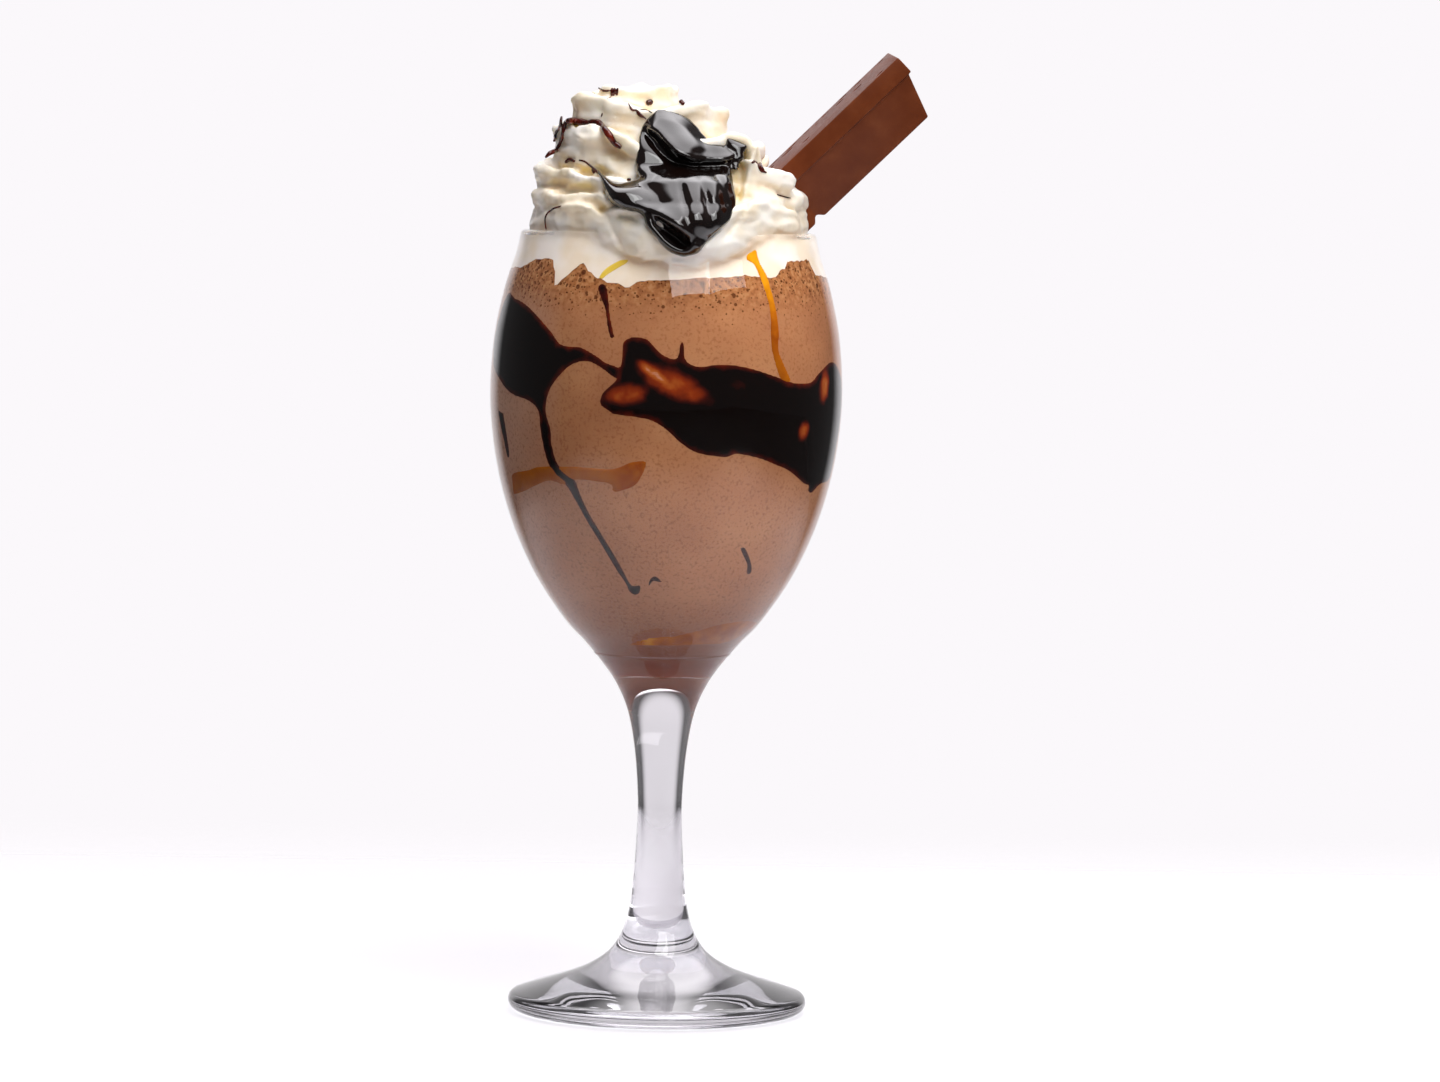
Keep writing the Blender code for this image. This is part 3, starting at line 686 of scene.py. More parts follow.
@dataclass(frozen=True)
class DairyCream(Finish):
    """Whipped dairy cream from a siphon: soft, with painted shade that turns it ivory in its folds, and white on
    its crests.
    """

    name: str = "whipped_dairy_cream"
    painted_shade_reach_mm: float = 7.0
    # Painted shade: colours by occlusion, from ivory where folds are shaded to white on open crests.
    folds: Stops = ((0.2, "#eadaa2"), (0.5, "#f8ebd3"), (0.85, "#fef5eb"))
    drift_mm: float = 11.0
    drifts: Stops = ((0.4, "#f6efe0"), (0.6, "#ffffff"))
    curd_mm: float = 1.6
    curd_relief_mm: float = 0.12

    def build(self) -> bpy.types.Material:
        """Makes the material.

        Returns:
            The material.
        """
        material, tree, shader, place = self.blank(IOR=1.36, Subsurface_Weight=0.35, Subsurface_Scale=1.0)
        shader.inputs["Subsurface Radius"].default_value = (4 * MM, 3.5 * MM, 2.8 * MM)
        inputs = {"Distance": self.painted_shade_reach_mm * MM}
        # Painted shade: ambient occlusion yellows and darkens the cream in its folds.
        fold = add_node(tree, "ShaderNodeAmbientOcclusion", inputs, samples=8, only_local=True)
        shade = ramped(tree, fold.outputs["AO"], self.folds)
        tint = ramped(tree, noise_of(tree, place, self.drift_mm, 2.0), self.drifts)
        tree.links.new(mixed(tree, 1.0, shade, tint, "MULTIPLY"), shader.inputs["Base Color"])
        curd = noise_of(tree, place, self.curd_mm, 4.0)
        tree.links.new(mapped(tree, curd, (0.3, 0.7), (0.34, 0.5)), shader.inputs["Roughness"])
        inputs = {"Height": curd, "Distance": self.curd_relief_mm * MM, "Strength": 0.5}
        tree.links.new(add_node(tree, "ShaderNodeBump", inputs).outputs[0], shader.inputs["Normal"])
        return material


@dataclass(frozen=True)
class FudgeSauce(Finish):
    """Cooled chocolate fudge sauce: near black, wet and mirror-smooth, with grey lamp shapes on its swells."""

    name: str = "chocolate_fudge_sauce"
    swell_mm: float = 9.0
    swell_relief_mm: float = 0.5
    tones: Stops = ((0.35, "#0c0605"), (0.7, "#150a07"))

    def build(self) -> bpy.types.Material:
        """Makes the material.

        Returns:
            The material.
        """
        material, tree, shader, place = self.blank(
            Roughness=0.09, IOR=1.48, Coat_Weight=0.4, Coat_Roughness=0.03
        )
        swell = noise_of(tree, place, self.swell_mm, 2.0)
        tree.links.new(ramped(tree, swell, self.tones), shader.inputs["Base Color"])
        inputs = {"Height": swell, "Distance": self.swell_relief_mm * MM, "Strength": 0.3}
        tree.links.new(add_node(tree, "ShaderNodeBump", inputs).outputs[0], shader.inputs["Normal"])
        return material


@dataclass(frozen=True)
class RedDrizzle(Finish):
    """Thin trails of chocolate sauce: glossy, dark maroon that glows red where the cream lights it through."""

    name: str = "thin_chocolate_sauce"
    run_mm: float = 2.5
    tones: Stops = ((0.35, "#2a0604"), (0.55, "#4d0f06"), (0.72, "#7d2410"))

    def build(self) -> bpy.types.Material:
        """Makes the material.

        Returns:
            The material.
        """
        material, tree, shader, place = self.blank(Roughness=0.12, IOR=1.46)
        run = noise_of(tree, place, self.run_mm, 2.0)
        tree.links.new(ramped(tree, run, self.tones), shader.inputs["Base Color"])
        return material


@dataclass(frozen=True)
class ThinSauce(Finish):
    """A film of sauce on the glass: its point attribute "film" runs from thin and glowing to thick and dark."""

    name: str
    stops: Stops = ((0.0, "#cf9c7c"), (0.1, "#ad5a22"), (0.3, "#852e0a"), (0.55, "#3f0d04"), (0.76, "#090302"))
    streak_mm: float = 3.0
    streak_share: float = 0.5
    streak_shift: float = -0.22

    def build(self) -> bpy.types.Material:
        """Makes the material.

        Returns:
            The material.
        """
        material, tree, shader, place = self.blank(Roughness=0.4, Specular_IOR_Level=0.0)
        film = add_node(tree, "ShaderNodeAttribute", attribute_name="film").outputs["Fac"]
        streak = noise_of(tree, place, self.streak_mm, 3.0)
        drift = maths(tree, "MULTIPLY_ADD", streak, self.streak_share, self.streak_shift)
        colour = ramped(tree, maths(tree, "ADD", film, drift), self.stops)
        tree.links.new(colour, shader.inputs["Base Color"])
        return material


@dataclass(frozen=True)
class MilkChocolate(Finish):
    """Moulded milk chocolate: warm brown, satin, with a faint bloom and small scuffs."""

    name: str = "moulded_milk_chocolate"
    bloom_mm: float = 6.0
    tones: Stops = ((0.3, "#642e16"), (0.55, "#6c341a"), (0.75, "#773d21"))
    scuff_mm: float = 0.8
    scuff_relief_mm: float = 0.08

    def build(self) -> bpy.types.Material:
        """Makes the material.

        Returns:
            The material.
        """
        material, tree, shader, place = self.blank(IOR=1.46, Specular_IOR_Level=0.15)
        bloom = noise_of(tree, place, self.bloom_mm, 5.0)
        tree.links.new(ramped(tree, bloom, self.tones), shader.inputs["Base Color"])
        scuff = noise_of(tree, place, self.scuff_mm, 4.0)
        tree.links.new(mapped(tree, scuff, (0.3, 0.7), (0.3, 0.44)), shader.inputs["Roughness"])
        inputs = {"Height": scuff, "Distance": self.scuff_relief_mm * MM, "Strength": 0.4}
        tree.links.new(add_node(tree, "ShaderNodeBump", inputs).outputs[0], shader.inputs["Normal"])
        return material


# The glass


def turned_piece(name: str, outline: Outline, segments: int) -> bpy.types.Object:
    """Turns a closed piece about Z by extruding and scaling a disc up an outline.

    Args:
        name: The piece's name.
        outline: Radius and height from the first disc to the last.
        segments: How many sides the piece has.

    Returns:
        The piece, closed and facing out.
    """
    pick_none()
    radius, height = outline[0]
    bpy.ops.mesh.primitive_circle_add(
        vertices=segments, radius=radius * MM, fill_type="NGON", location=(0, 0, height * MM)
    )
    piece = bpy.context.object
    settle(piece)
    piece.name = name
    piece.data.name = name
    bpy.ops.object.mode_set(mode="EDIT")
    bpy.ops.mesh.select_all(action="SELECT")
    for (r0, z0), (r1, z1) in zip(outline, outline[1:]):
        bpy.ops.mesh.extrude_region_move(TRANSFORM_OT_translate={"value": (0, 0, (z1 - z0) * MM)})
        bpy.ops.transform.resize(value=(r1 / r0, r1 / r0, 1.0))
    bpy.ops.object.mode_set(mode="OBJECT")
    return close_and_turn_out(piece)


def arc(centre: Pair, radii: Pair, start_deg: float, end_deg: float, steps: int) -> list[Pair]:
    """Points of an elliptical arc on a turned outline."""
    turns = [math.radians(start_deg + (end_deg - start_deg) * k / steps) for k in range(steps + 1)]
    return [(centre[0] + radii[0] * math.cos(a), centre[1] + radii[1] * math.sin(a)) for a in turns]


@dataclass
class StemmedGlass:
    """The clear glass: a round foot, a slim stem and a tall bowl with a beaded rim."""

    height: float = 190.8
    foot_radius: float = 36.6
    foot_edge: float = 4.4
    rim_radius: float = 34.95
    rim_round: float = 1.15
    floor: float = 86.4
    segments: int = 192
    outside: Outline = (
        (30.0, 6.0), (24.0, 7.9), (17.6, 10.4), (12.0, 14.2), (8.7, 19.4), (6.9, 26.0), (6.1, 34.0),
        (5.5, 45.0), (5.5, 53.0), (6.4, 64.0), (8.3, 73.7), (11.6, 81.0), (15.95, 86.95), (16.5, 87.4),
        (16.85, 87.85), (17.1, 88.3), (19.4, 90.9), (24.3, 96.2),
        (31.4, 106.8), (36.7, 118.2), (40.2, 129.4), (42.3, 141.0), (43.0, 152.7), (42.0, 166.0),
        (39.6, 177.4), (37.3, 184.4),
    )
    cavity: Outline = (
        (35.0, 184.4), (37.3, 177.4), (39.7, 166.0), (40.7, 152.7), (40.0, 141.0), (37.9, 129.4),
        (34.3, 118.2), (28.8, 106.8), (21.6, 97.4), (16.4, 91.6), (13.0, 88.4), (10.6, 87.0), (6.4, 86.5),
    )
    inner: list[Pair] = field(default_factory=list)

    def rim_height(self) -> float:
        """Height of the rim bead's middle."""
        return self.height - self.rim_round

    def outer_line(self) -> list[Pair]:
        """The outline from the foot's edge up to the rim bead.

        Returns:
            Radii and heights.
        """
        half = self.foot_edge / 2
        edge = arc((self.foot_radius - half, half), (half, half), -90, 62, 10)
        body = smooth_line((edge[-1], *self.outside, (self.rim_radius + self.rim_round, self.rim_height())), 5)
        return edge + [(r, z) for r, z in body[1:]]

    def inner_line(self) -> list[Pair]:
        """The outline of the bowl's inside, from the rim bead down to its floor.

        Returns:
            Radii and heights.
        """
        start = (self.rim_radius - self.rim_round, self.rim_height())
        line = smooth_line((start, *self.cavity, (0.25, self.floor)), 5)
        return [(r, z) for r, z in line]

    def wall_radius(self, height: float) -> float:
        """Radius of the bowl's inside at a height.

        Args:
            height: The height above the foot.

        Returns:
            The radius.
        """
        if not self.inner:
            self.inner = self.inner_line()
        for (r0, z0), (r1, z1) in zip(self.inner, self.inner[1:]):
            if z1 <= height <= z0:
                return r1 + (r0 - r1) * (height - z1) / max(1e-9, z0 - z1)
        return self.inner[0][0] if height > self.inner[0][1] else 0.25

    def build(self) -> bpy.types.Object:
        """Turns the glass and dresses it.

        Returns:
            The glass.
        """
        rim = arc((self.rim_radius, self.rim_height()), (self.rim_round, self.rim_round), 0, 180, 12)
        outline = self.outer_line() + rim[1:-1] + self.inner_line()
        glass = turned_piece("stemmed_glass", outline, self.segments)
        return dress(glass, SodaLimeGlass().build(), "clear_glass", "glass", Shading.CRISP)


# The drink


@dataclass
class Drink:
    """The milkshake, which reaches just into the wall, with a foamy edge that rises and dips."""

    glass: StemmedGlass
    level: float = 179.0
    band: float = 9.0
    into_wall: float = 0.16
    segments: int = 256
    front_edge: Outline = (
        (-90, 180.6), (-72.5, 181.2), (-58, 183.5), (-50, 183.9), (-46.6, 181.0), (-44.6, 177.2), (-40.5, 179.6),
        (-38.0, 181.2), (-34.1, 183.0), (-30.2, 181.0), (-26.4, 179.6), (-20.6, 178.5), (-14.4, 177.7),
        (-10.2, 179.1), (0.4, 179.5), (11.8, 180.0), (29.2, 180.6), (41.2, 180.1), (48.4, 181.9),
        (52.5, 184.1), (67.0, 184.7), (70.5, 180.3), (90, 179.4),
    )

    def edge_height(self, angle: float) -> float:
        """Height of the foam's edge against the glass, by the angle about Z in radians.

        Args:
            angle: The angle.

        Returns:
            The height.
        """
        from_front = (math.degrees(angle) + 270) % 360 - 180
        spot = Vector((math.cos(angle), math.sin(angle), 0.0))
        fizz = 0.35 * noise.noise(spot * 21.0) + 0.2 * noise.noise(spot * 47.0)
        if abs(from_front) <= 90:
            return along_table(self.front_edge, from_front) + fizz
        ease = min(1.0, (abs(from_front) - 90) / 25)
        return self.level + 0.8 + ease * 4.0 * noise.noise(spot * 2.6 + Vector((3.1, 0.4, 1.7))) + fizz

    def build(self) -> bpy.types.Object:
        """Turns the drink, then lifts its edge into foam.

        Returns:
            The drink.
        """
        base = self.level - self.band
        inner = reversed(self.glass.inner_line())
        wall = [(r + self.into_wall, z - self.into_wall) for r, z in inner if z < base]
        steps = 14
        top = []
        for k in range(steps + 1):
            z = base + self.band * k / steps
            top.append((self.glass.wall_radius(z) + self.into_wall, z))
        crown = [(top[-1][0] * share, self.level) for share in (0.9, 0.7, 0.45, 0.2, 0.02)]
        drink = turned_piece("chocolate_drink", wall + top + crown, self.segments)
        points = read_points(drink)
        for row in points:
            if row[2] > base + 1e-6:
                angle = math.atan2(row[1], row[0])
                radius = math.hypot(row[0], row[1])
                full = self.glass.wall_radius(row[2]) + self.into_wall
                share = min(1.0, radius / full)
                rise = (self.edge_height(angle) - self.level) * share**3
                row[2] += rise * (row[2] - base) / self.band
                reach = (self.glass.wall_radius(row[2]) + self.into_wall) * share
                row[0], row[1] = reach * math.cos(angle), reach * math.sin(angle)
        place_points(drink, points)
        return dress(drink, ChocolateMilk().build(), "chocolate_milk", "milkshake", Shading.CRISP)


# Sauce on the inside of the glass


@dataclass(frozen=True)
class ThinSpot:
    """A turned oval where a film is thin enough to glow: its centre is degrees from the front, and height."""

    degrees: float
    height: float
    long: float
    wide: float
    turn_deg: float
    clear: float

    def level(self, places: np.ndarray, mean: float) -> np.ndarray:
        """How thick the film is because of this spot.

        Args:
            places: Points on the unrolled wall, one row each.
            mean: The radius at which the wall is unrolled.

        Returns:
            1 away from the spot, less in it.
        """
        centre = (math.radians(self.degrees) * mean, self.height)
        reach = oval_reach(places, centre, (self.long, self.wide), self.turn_deg)
        return 1 - self.clear * np.exp(-(reach**1.5))


@dataclass
class WallFilm:
    """Sauce that ran down inside the bowl. Outlines are degrees round from the front, and height."""

    name: str
    finish: ThinSauce
    slot: str
    outlines: Sequence[Outline]
    windows: Sequence[ThinSpot] = ()
    lift: float = 0.34
    pitch: float = 0.45
    thin_edge: float = 2.6
    drift: Callable[[np.ndarray, np.ndarray], np.ndarray] | None = None

    def build(self, glass: StemmedGlass) -> bpy.types.Object:
        """Cuts the film's shape from a fine grid and lays it on the wall.

        Args:
            glass: The glass whose wall carries it.

        Returns:
            The film.
        """
        mean = 38.0
        outlines = []
        for outline in self.outlines:
            flat = [(math.radians(a) * mean, z) for a, z in outline]
            outlines.append(closed_line(flat, 8))
        low = np.min([np.min(o, axis=0) for o in outlines], axis=0) - 1.0
        high = np.max([np.max(o, axis=0) for o in outlines], axis=0) + 1.0
        size = high - low
        pick_none()
        bpy.ops.mesh.primitive_grid_add(
            x_subdivisions=int(size[0] / self.pitch), y_subdivisions=int(size[1] / self.pitch), size=1.0
        )
        film = bpy.context.object
        film.name = self.name
        film.data.name = self.name
        flat_points = read_points(film) * MM
        places = low + (flat_points[:, :2] + 0.5) * size
        depth = depth_within(outlines, places)
        select_points(film, depth < -self.pitch * 0.75)
        bpy.ops.object.mode_set(mode="EDIT")
        bpy.ops.mesh.delete(type="VERT")
        bpy.ops.object.mode_set(mode="OBJECT")
        places = low + (read_points(film)[:, :2] * MM + 0.5) * size
        depth = depth_within(outlines, places)
        places = self.snap(places, depth, outlines)
        depth = np.maximum(0.0, depth)
        rounding = np.sqrt(np.clip(depth / 0.9, 0.0, 1.0))
        points = np.zeros((len(places), 3))
        for i, (u, z) in enumerate(places):
            radius = glass.wall_radius(z) + 0.02 + self.lift * rounding[i]
            angle = u / mean
            points[i] = (radius * math.sin(angle), -radius * math.cos(angle), z)
        place_points(film, points)
        level = np.clip(depth / self.thin_edge, 0.0, 1.0) * 0.55 + 0.45
        for window in self.windows:
            level = np.minimum(level, window.level(places, mean))
        if self.drift:
            level = self.drift(level, places)
        paint(film, "film", level)
        bpy.ops.object.mode_set(mode="EDIT")
        bpy.ops.mesh.select_all(action="SELECT")
        bpy.ops.mesh.extrude_region_move()
        bpy.ops.object.mode_set(mode="OBJECT")
        self.push_back(film)
        close_and_turn_out(film)
        return dress(film, self.finish.build(), self.slot)

    @staticmethod
    def snap(places: np.ndarray, depth: np.ndarray, outlines: Sequence[Sequence[Pair]]) -> np.ndarray:
        """Pulls the points that lie outside back onto the nearest outline.

        Args:
            places: Points on the unrolled wall.
            depth: How far inside the outlines each is.
            outlines: The closed outlines.

        Returns:
            The points, pulled back.
        """
        moved = places.copy()
        out = depth < 0
        best = np.full(int(out.sum()), np.inf)
        shift = np.zeros((int(out.sum()), 2))
        for outline in outlines:
            distance, away = nearest_on([*outline, outline[0]], places[out])
            closer = distance < best
            best[closer] = distance[closer]
            shift[closer] = away[closer]
        moved[out] -= shift
        return moved

    @staticmethod
    def push_back(film: bpy.types.Object) -> None:
        """Moves the extruded copy of the skin in behind the wall, which gives the film its body.

        Args:
            film: The film, with its copy selected.
        """
        points = read_points(film)
        selected = np.zeros(len(points), dtype=bool)
        film.data.vertices.foreach_get("select", selected)
        radius = np.hypot(points[:, 0], points[:, 1])
        inward = (radius - 0.9) / radius
        points[selected, 0] *= inward[selected]
        points[selected, 1] *= inward[selected]
        place_points(film, points)


# Whipped cream


def tube(points: Sequence[Vector], radii: Sequence[float]) -> bpy.types.Object:
    """Makes a round-sectioned tube along points, closed at its ends.

    Args:
        points: The centre line, in millimetres.
        radii: The radius at each point.

    Returns:
        The tube as a mesh.
    """
    pick_none()
    bpy.ops.curve.primitive_nurbs_path_add()
    path = bpy.context.object
    curve = path.data
    curve.splines.clear()
    spline = curve.splines.new("POLY")
    spline.points.add(len(points) - 1)
    for knot, point, radius in zip(spline.points, points, radii):
        knot.co = (*(point * MM), 1.0)
        knot.radius = radius
    curve.bevel_depth = MM
    curve.bevel_resolution = 4
    curve.use_fill_caps = True
    bpy.ops.object.convert(target="MESH")
    return bpy.context.object


class Side(Enum):
    """Which side of a stroke's line it works on, looking along the line in front view."""

    BOTH = 0
    LEFT = 1
    RIGHT = -1


@dataclass(frozen=True)
class Stroke:
    """A fold in the cream's front: in by depth beside a line of (x, z), or out where depth is negative."""

    depth: float
    sharp: float
    fade: float
    side: Side
    line: Outline

    def reach(self, places: np.ndarray) -> np.ndarray:
        """How far in each place goes.

        Args:
            places: Points in front view, one row each.

        Returns:
            The distance in, in millimetres.
        """
        line = smooth_line(self.line, 6)
        distance, away = nearest_on(line, places)
        if self.side is Side.BOTH:
            return self.depth * np.exp(-((distance / self.fade) ** 2))
        start = np.array(line[:-1])
        ahead = np.diff(np.array(line), axis=0)
        middle = start + ahead / 2
        nearest = np.argmin(((places[:, None, :] - middle[None, :, :]) ** 2).sum(axis=2), axis=1)
        turn = ahead[nearest, 0] * away[:, 1] - ahead[nearest, 1] * away[:, 0]
        signed = distance * np.sign(turn) * self.side.value
        step = np.clip(signed / self.sharp, 0, 1)
        return self.depth * step * step * (3 - 2 * step) * np.exp(-((np.maximum(signed, 0) / self.fade) ** 2))


@dataclass
class WhippedCream:
    """Whipped cream from a siphon: one roll laid round the rim and up in a spiral, with thin upturned lips."""

    glass: StemmedGlass
    drink: Drink
    turns: Sequence[Sequence[float]] = (
        (0.0, 0.0, 0.0, 27.2, 193.0, 6.7, 4.6),
        (1.0, -0.4, 0.0, 26.6, 193.2, 6.7, 4.6),
        (2.0, -3.2, 0.8, 21.2, 203.2, 6.4, 4.0),
        (3.0, -6.2, 2.0, 15.2, 212.4, 6.0, 3.0),
        (4.0, -9.2, 2.6, 8.4, 219.8, 5.2, 1.6),
        (4.5, -14.0, 2.2, 2.8, 221.8, 4.0, 0.0),
    )
    start_deg: float = 64.0
    steps_per_turn: int = 72
    front_deg: float = -86.0
    front_spread_deg: float = 25.0
    front_bulge: float = 10.0
    lip_deg: float = 50.0
    folds: Sequence[Sequence[Sequence[float]]] = (
        (
            (14.0, -20.0, 204.6, 4.2), (20.5, -17.6, 203.4, 3.8), (26.4, -14.2, 202.4, 3.0),
            (29.2, -12.0, 201.6, 2.0),
        ),
        ((16.0, -21.5, 197.6, 4.6), (22.0, -18.0, 196.6, 4.0), (26.0, -13.5, 196.4, 2.6)),
        ((19.0, -24.5, 192.6, 4.2), (25.6, -19.0, 193.0, 3.8), (30.4, -11.5, 193.2, 2.6)),
        (
            (11.0, -16.0, 212.0, 2.0), (15.0, -16.0, 211.6, 2.4), (18.6, -15.5, 208.6, 2.4),
            (20.0, -16.0, 204.5, 2.0),
        ),
    )
    strokes: Sequence[Stroke] = (
        Stroke(2.8, 0.7, 2.5, Side.RIGHT, (
            (-25.5, 216.9), (-22.9, 217.0), (-20.0, 216.6), (-17.5, 216.8), (-15.9, 215.4), (-14.5, 213.7),
            (-13.3, 212.0), (-11.6, 210.5),
        )),
        Stroke(-0.8, 0.5, 0.7, Side.BOTH, ((-24.4, 213.3), (-20.0, 213.2), (-15.8, 213.5))),
        Stroke(1.0, 0.5, 2.2, Side.BOTH, ((-23.6, 210.6), (-17.0, 209.6), (-10.7, 207.2))),
        Stroke(-0.9, 0.5, 0.9, Side.BOTH, ((-24.5, 208.6), (-19.8, 207.4), (-14.0, 205.4), (-9.0, 203.4))),
        Stroke(2.0, 0.6, 2.2, Side.LEFT, (
            (-31.0, 206.0), (-29.0, 207.8), (-27.0, 207.6), (-25.3, 207.0), (-22.8, 207.3), (-20.4, 206.8),
            (-18.7, 205.6), (-17.0, 204.2),
        )),
        Stroke(2.4, 0.5, 1.5, Side.BOTH, ((-27.4, 201.2), (-22.6, 200.8), (-18.6, 200.9))),
        Stroke(1.4, 0.5, 2.4, Side.RIGHT, ((-18.6, 203.6), (-18.1, 200.3), (-15.3, 198.1), (-14.1, 196.6))),
        Stroke(2.8, 0.5, 2.6, Side.LEFT, (
            (-34.2, 191.6), (-31.1, 193.4), (-29.1, 194.9), (-27.1, 196.2), (-24.2, 197.2), (-21.6, 197.5),
            (-18.7, 196.9), (-16.7, 195.9), (-15.0, 195.4), (-12.0, 196.6), (-9.0, 196.4),
        )),
        Stroke(1.3, 0.5, 1.8, Side.LEFT, ((-15.8, 195.2), (-14.6, 192.9), (-14.0, 191.2), (-12.9, 189.0))),
        Stroke(1.8, 0.5, 1.1, Side.BOTH, ((-11.4, 194.4), (-9.4, 193.9), (-7.9, 193.6))),
        Stroke(4.5, 0.5, 1.8, Side.BOTH, ((16.4, 209.6), (16.9, 204.4), (16.2, 199.0))),
        Stroke(-1.6, 0.5, 0.9, Side.BOTH, ((20.4, 211.4), (19.4, 206.7), (18.3, 202.7), (17.2, 198.6))),
        Stroke(-1.2, 0.5, 1.3, Side.BOTH, ((19.4, 198.4), (16.2, 195.7), (12.8, 192.0), (8.6, 187.4))),
        Stroke(1.8, 0.5, 1.6, Side.RIGHT, ((19.6, 198.2), (17.2, 194.4), (14.4, 190.6))),
        Stroke(1.8, 0.5, 1.2, Side.BOTH, ((21.6, 201.4), (25.6, 200.6), (29.6, 199.6))),
        Stroke(1.4, 0.5, 1.2, Side.BOTH, ((22.0, 196.6), (25.4, 193.6), (26.2, 190.4))),
    )
    tufts: int = 12
    tuft_seed: int = 7
    voxel: float = 0.5

    def front_weight(self, angle: float) -> float:
        """1 at the front, where the cream slumps under the sauce, falling to 0 at the sides."""
        off = (angle - math.radians(self.front_deg) + math.pi) % (2 * math.pi) - math.pi
        return math.exp(-((off / math.radians(self.front_spread_deg)) ** 2))

    def spiral(self) -> tuple[list[Vector], list[float], list[Vector]]:
        """The long roll's centre line, its radii and the centre of each ring.

        Returns:
            The three lists.
        """
        path, radii, centres = [], [], []
        for turn, cx, cy, ring, height, roll, sag in smooth_line(self.turns, self.steps_per_turn):
            angle = math.radians(self.start_deg) - 2 * math.pi * turn
            front = self.front_weight(angle)
            over_rim = max(0.0, 1.6 - turn) / 1.6
            ring += self.front_bulge * front * over_rim
            ring += 1.1 * noise.noise(Vector((math.cos(angle), math.sin(angle), turn)) * 1.9)
            height += 0.9 * noise.noise(Vector((turn * 3.1, math.cos(angle), 5.0))) - sag * front
            roll *= 1 - 0.14 * front * over_rim
            path.append(Vector((cx + ring * math.cos(angle), cy + ring * math.sin(angle), height)))
            radii.append(roll)
            centres.append(Vector((cx, cy, height)))
        return path, self.eased(radii, 7), centres

    @staticmethod
    def eased(radii: Sequence[float], steps: int) -> list[float]:
        """Tapers the first and last radii so that a roll ends round."""
        last = len(radii) - 1
        return [
            r * math.sqrt(max(0.02, 1 - (1 - min(1.0, (min(i, last - i) + 0.3) / steps)) ** 2))
            for i, r in enumerate(radii)
        ]

    def roll(
        self, path: Sequence[Vector], radii: Sequence[float], centres: Sequence[Vector], lip: float
    ) -> list[bpy.types.Object]:
        """Makes a roll of cream with a thin lip along its upper outer side.

        Args:
            path: The centre line.
            radii: The roll's radius at each point.
            centres: The point each part of the roll faces away from.
            lip: How far the lip stands out, as a share of the radius.

        Returns:
            The tubes that make the roll, before they are fused.
        """
        made = [tube(path, radii)]
        for reach, thickness in ((0.62, 0.46), (0.62 + 0.55 * lip, 0.34), (0.62 + 0.95 * lip, 0.22)):
            line = []
            for i, centre in enumerate(path):
                tangent = (path[min(i + 1, len(path) - 1)] - path[max(i - 1, 0)]).normalized()
                away = centre - centres[i]
                away.z = 0.0
                out = (away - tangent * away.dot(tangent)).normalized()
                up = tangent.cross(out)
                if up.z < 0:
                    up = -up
                spot = centre * 0.1
                tilt = math.radians(self.lip_deg + 16 * noise.noise(spot * 1.3 + Vector((7.0, 0.0, 0.0))))
                stretch = 1 + 0.22 * noise.noise(spot * 1.9) + 0.1 * noise.noise(spot * 6.0)
                lean = out * math.cos(tilt) + up * math.sin(tilt)
                line.append(centre + lean * radii[i] * reach * stretch)
            made.append(tube(line, [max(0.75, r * thickness) for r in radii]))
        return made

    def core(self) -> list[bpy.types.Object]:
        """The mass inside the rolls, from the plug in the bowl up to under the top.

        Returns:
            Its meshes.
        """
        low = self.drink.level - self.drink.band + 1.0
        rise = (self.glass.height - 1.5 - low) / 6
        levels = [low + rise * k for k in range(7)]
        side = [(self.glass.wall_radius(z) + 0.14, z) for z in levels]
        outline = [(0.3, low), *side, (30.0, 193.0), (24.0, 202.0), (0.3, 203.0)]
        made = [turned_piece("cream_plug", outline, 96)]
        for place, radius in (((-2.0, 3.0, 203.0), 17.0), ((-6.5, 3.0, 210.0), 12.0)):
            pick_none()
            bpy.ops.mesh.primitive_ico_sphere_add(
                subdivisions=5, radius=radius * MM, location=[v * MM for v in place]
            )
            made.append(settle(bpy.context.object))
        return made

    def side_tufts(self) -> list[bpy.types.Object]:
        """Short folds beside the bar and uneven tufts round the back and sides.

        Returns:
            Their meshes.
        """
        made = []
        for fold in self.folds:
            line = smooth_line(fold, 8)
            path = [Vector(p[:3]) for p in line]
            centres = [Vector((0.0, 0.0, p.z)) for p in path]
            made += self.roll(path, self.eased([p[3] for p in line], 4), centres, 0.5)
        draw = random.Random(self.tuft_seed)
        for k in range(self.tufts):
            angle = math.radians(10 + 200 * (k + 0.5) / self.tufts + draw.uniform(-8, 8))
            height = draw.uniform(197, 214)
            reach = 30.5 - (height - 195) * 0.62
            centre = Vector((-0.14 * (height - 195), 0.0, height))
            path = [
                centre
                + Vector((reach * math.cos(angle + d), reach * math.sin(angle + d), 1.6 * math.sin(9 * d + k)))
                for d in np.linspace(-0.24, 0.24, 13)
            ]
            radius = draw.uniform(3.0, 4.2)
            made += self.roll(path, self.eased([radius] * len(path), 6), [centre] * len(path), 0.6)
        return made

    def free_share(self, points: np.ndarray) -> np.ndarray:
        """1 where the cream stands free, 0 where it lies against the inside of the glass.

        Args:
            points: The cream's points.

        Returns:
            The share for each point.
        """
        radius = np.hypot(points[:, 0], points[:, 1])
        wall = np.interp(points[:, 2], *self.wall_table())
        inside_wall = (points[:, 2] < self.glass.height - 1.0) & (radius < wall + 0.5)
        return np.where(inside_wall, np.clip((wall - 4.0 - radius) / 2.0, 0, 1), 1.0)

    def wall_table(self) -> tuple[np.ndarray, np.ndarray]:
        """Heights and radii of the bowl's inside, for reading many at once."""
        heights = np.linspace(self.drink.level - self.drink.band - 2.0, self.glass.height, 60)
        return heights, np.array([self.glass.wall_radius(z) for z in heights])

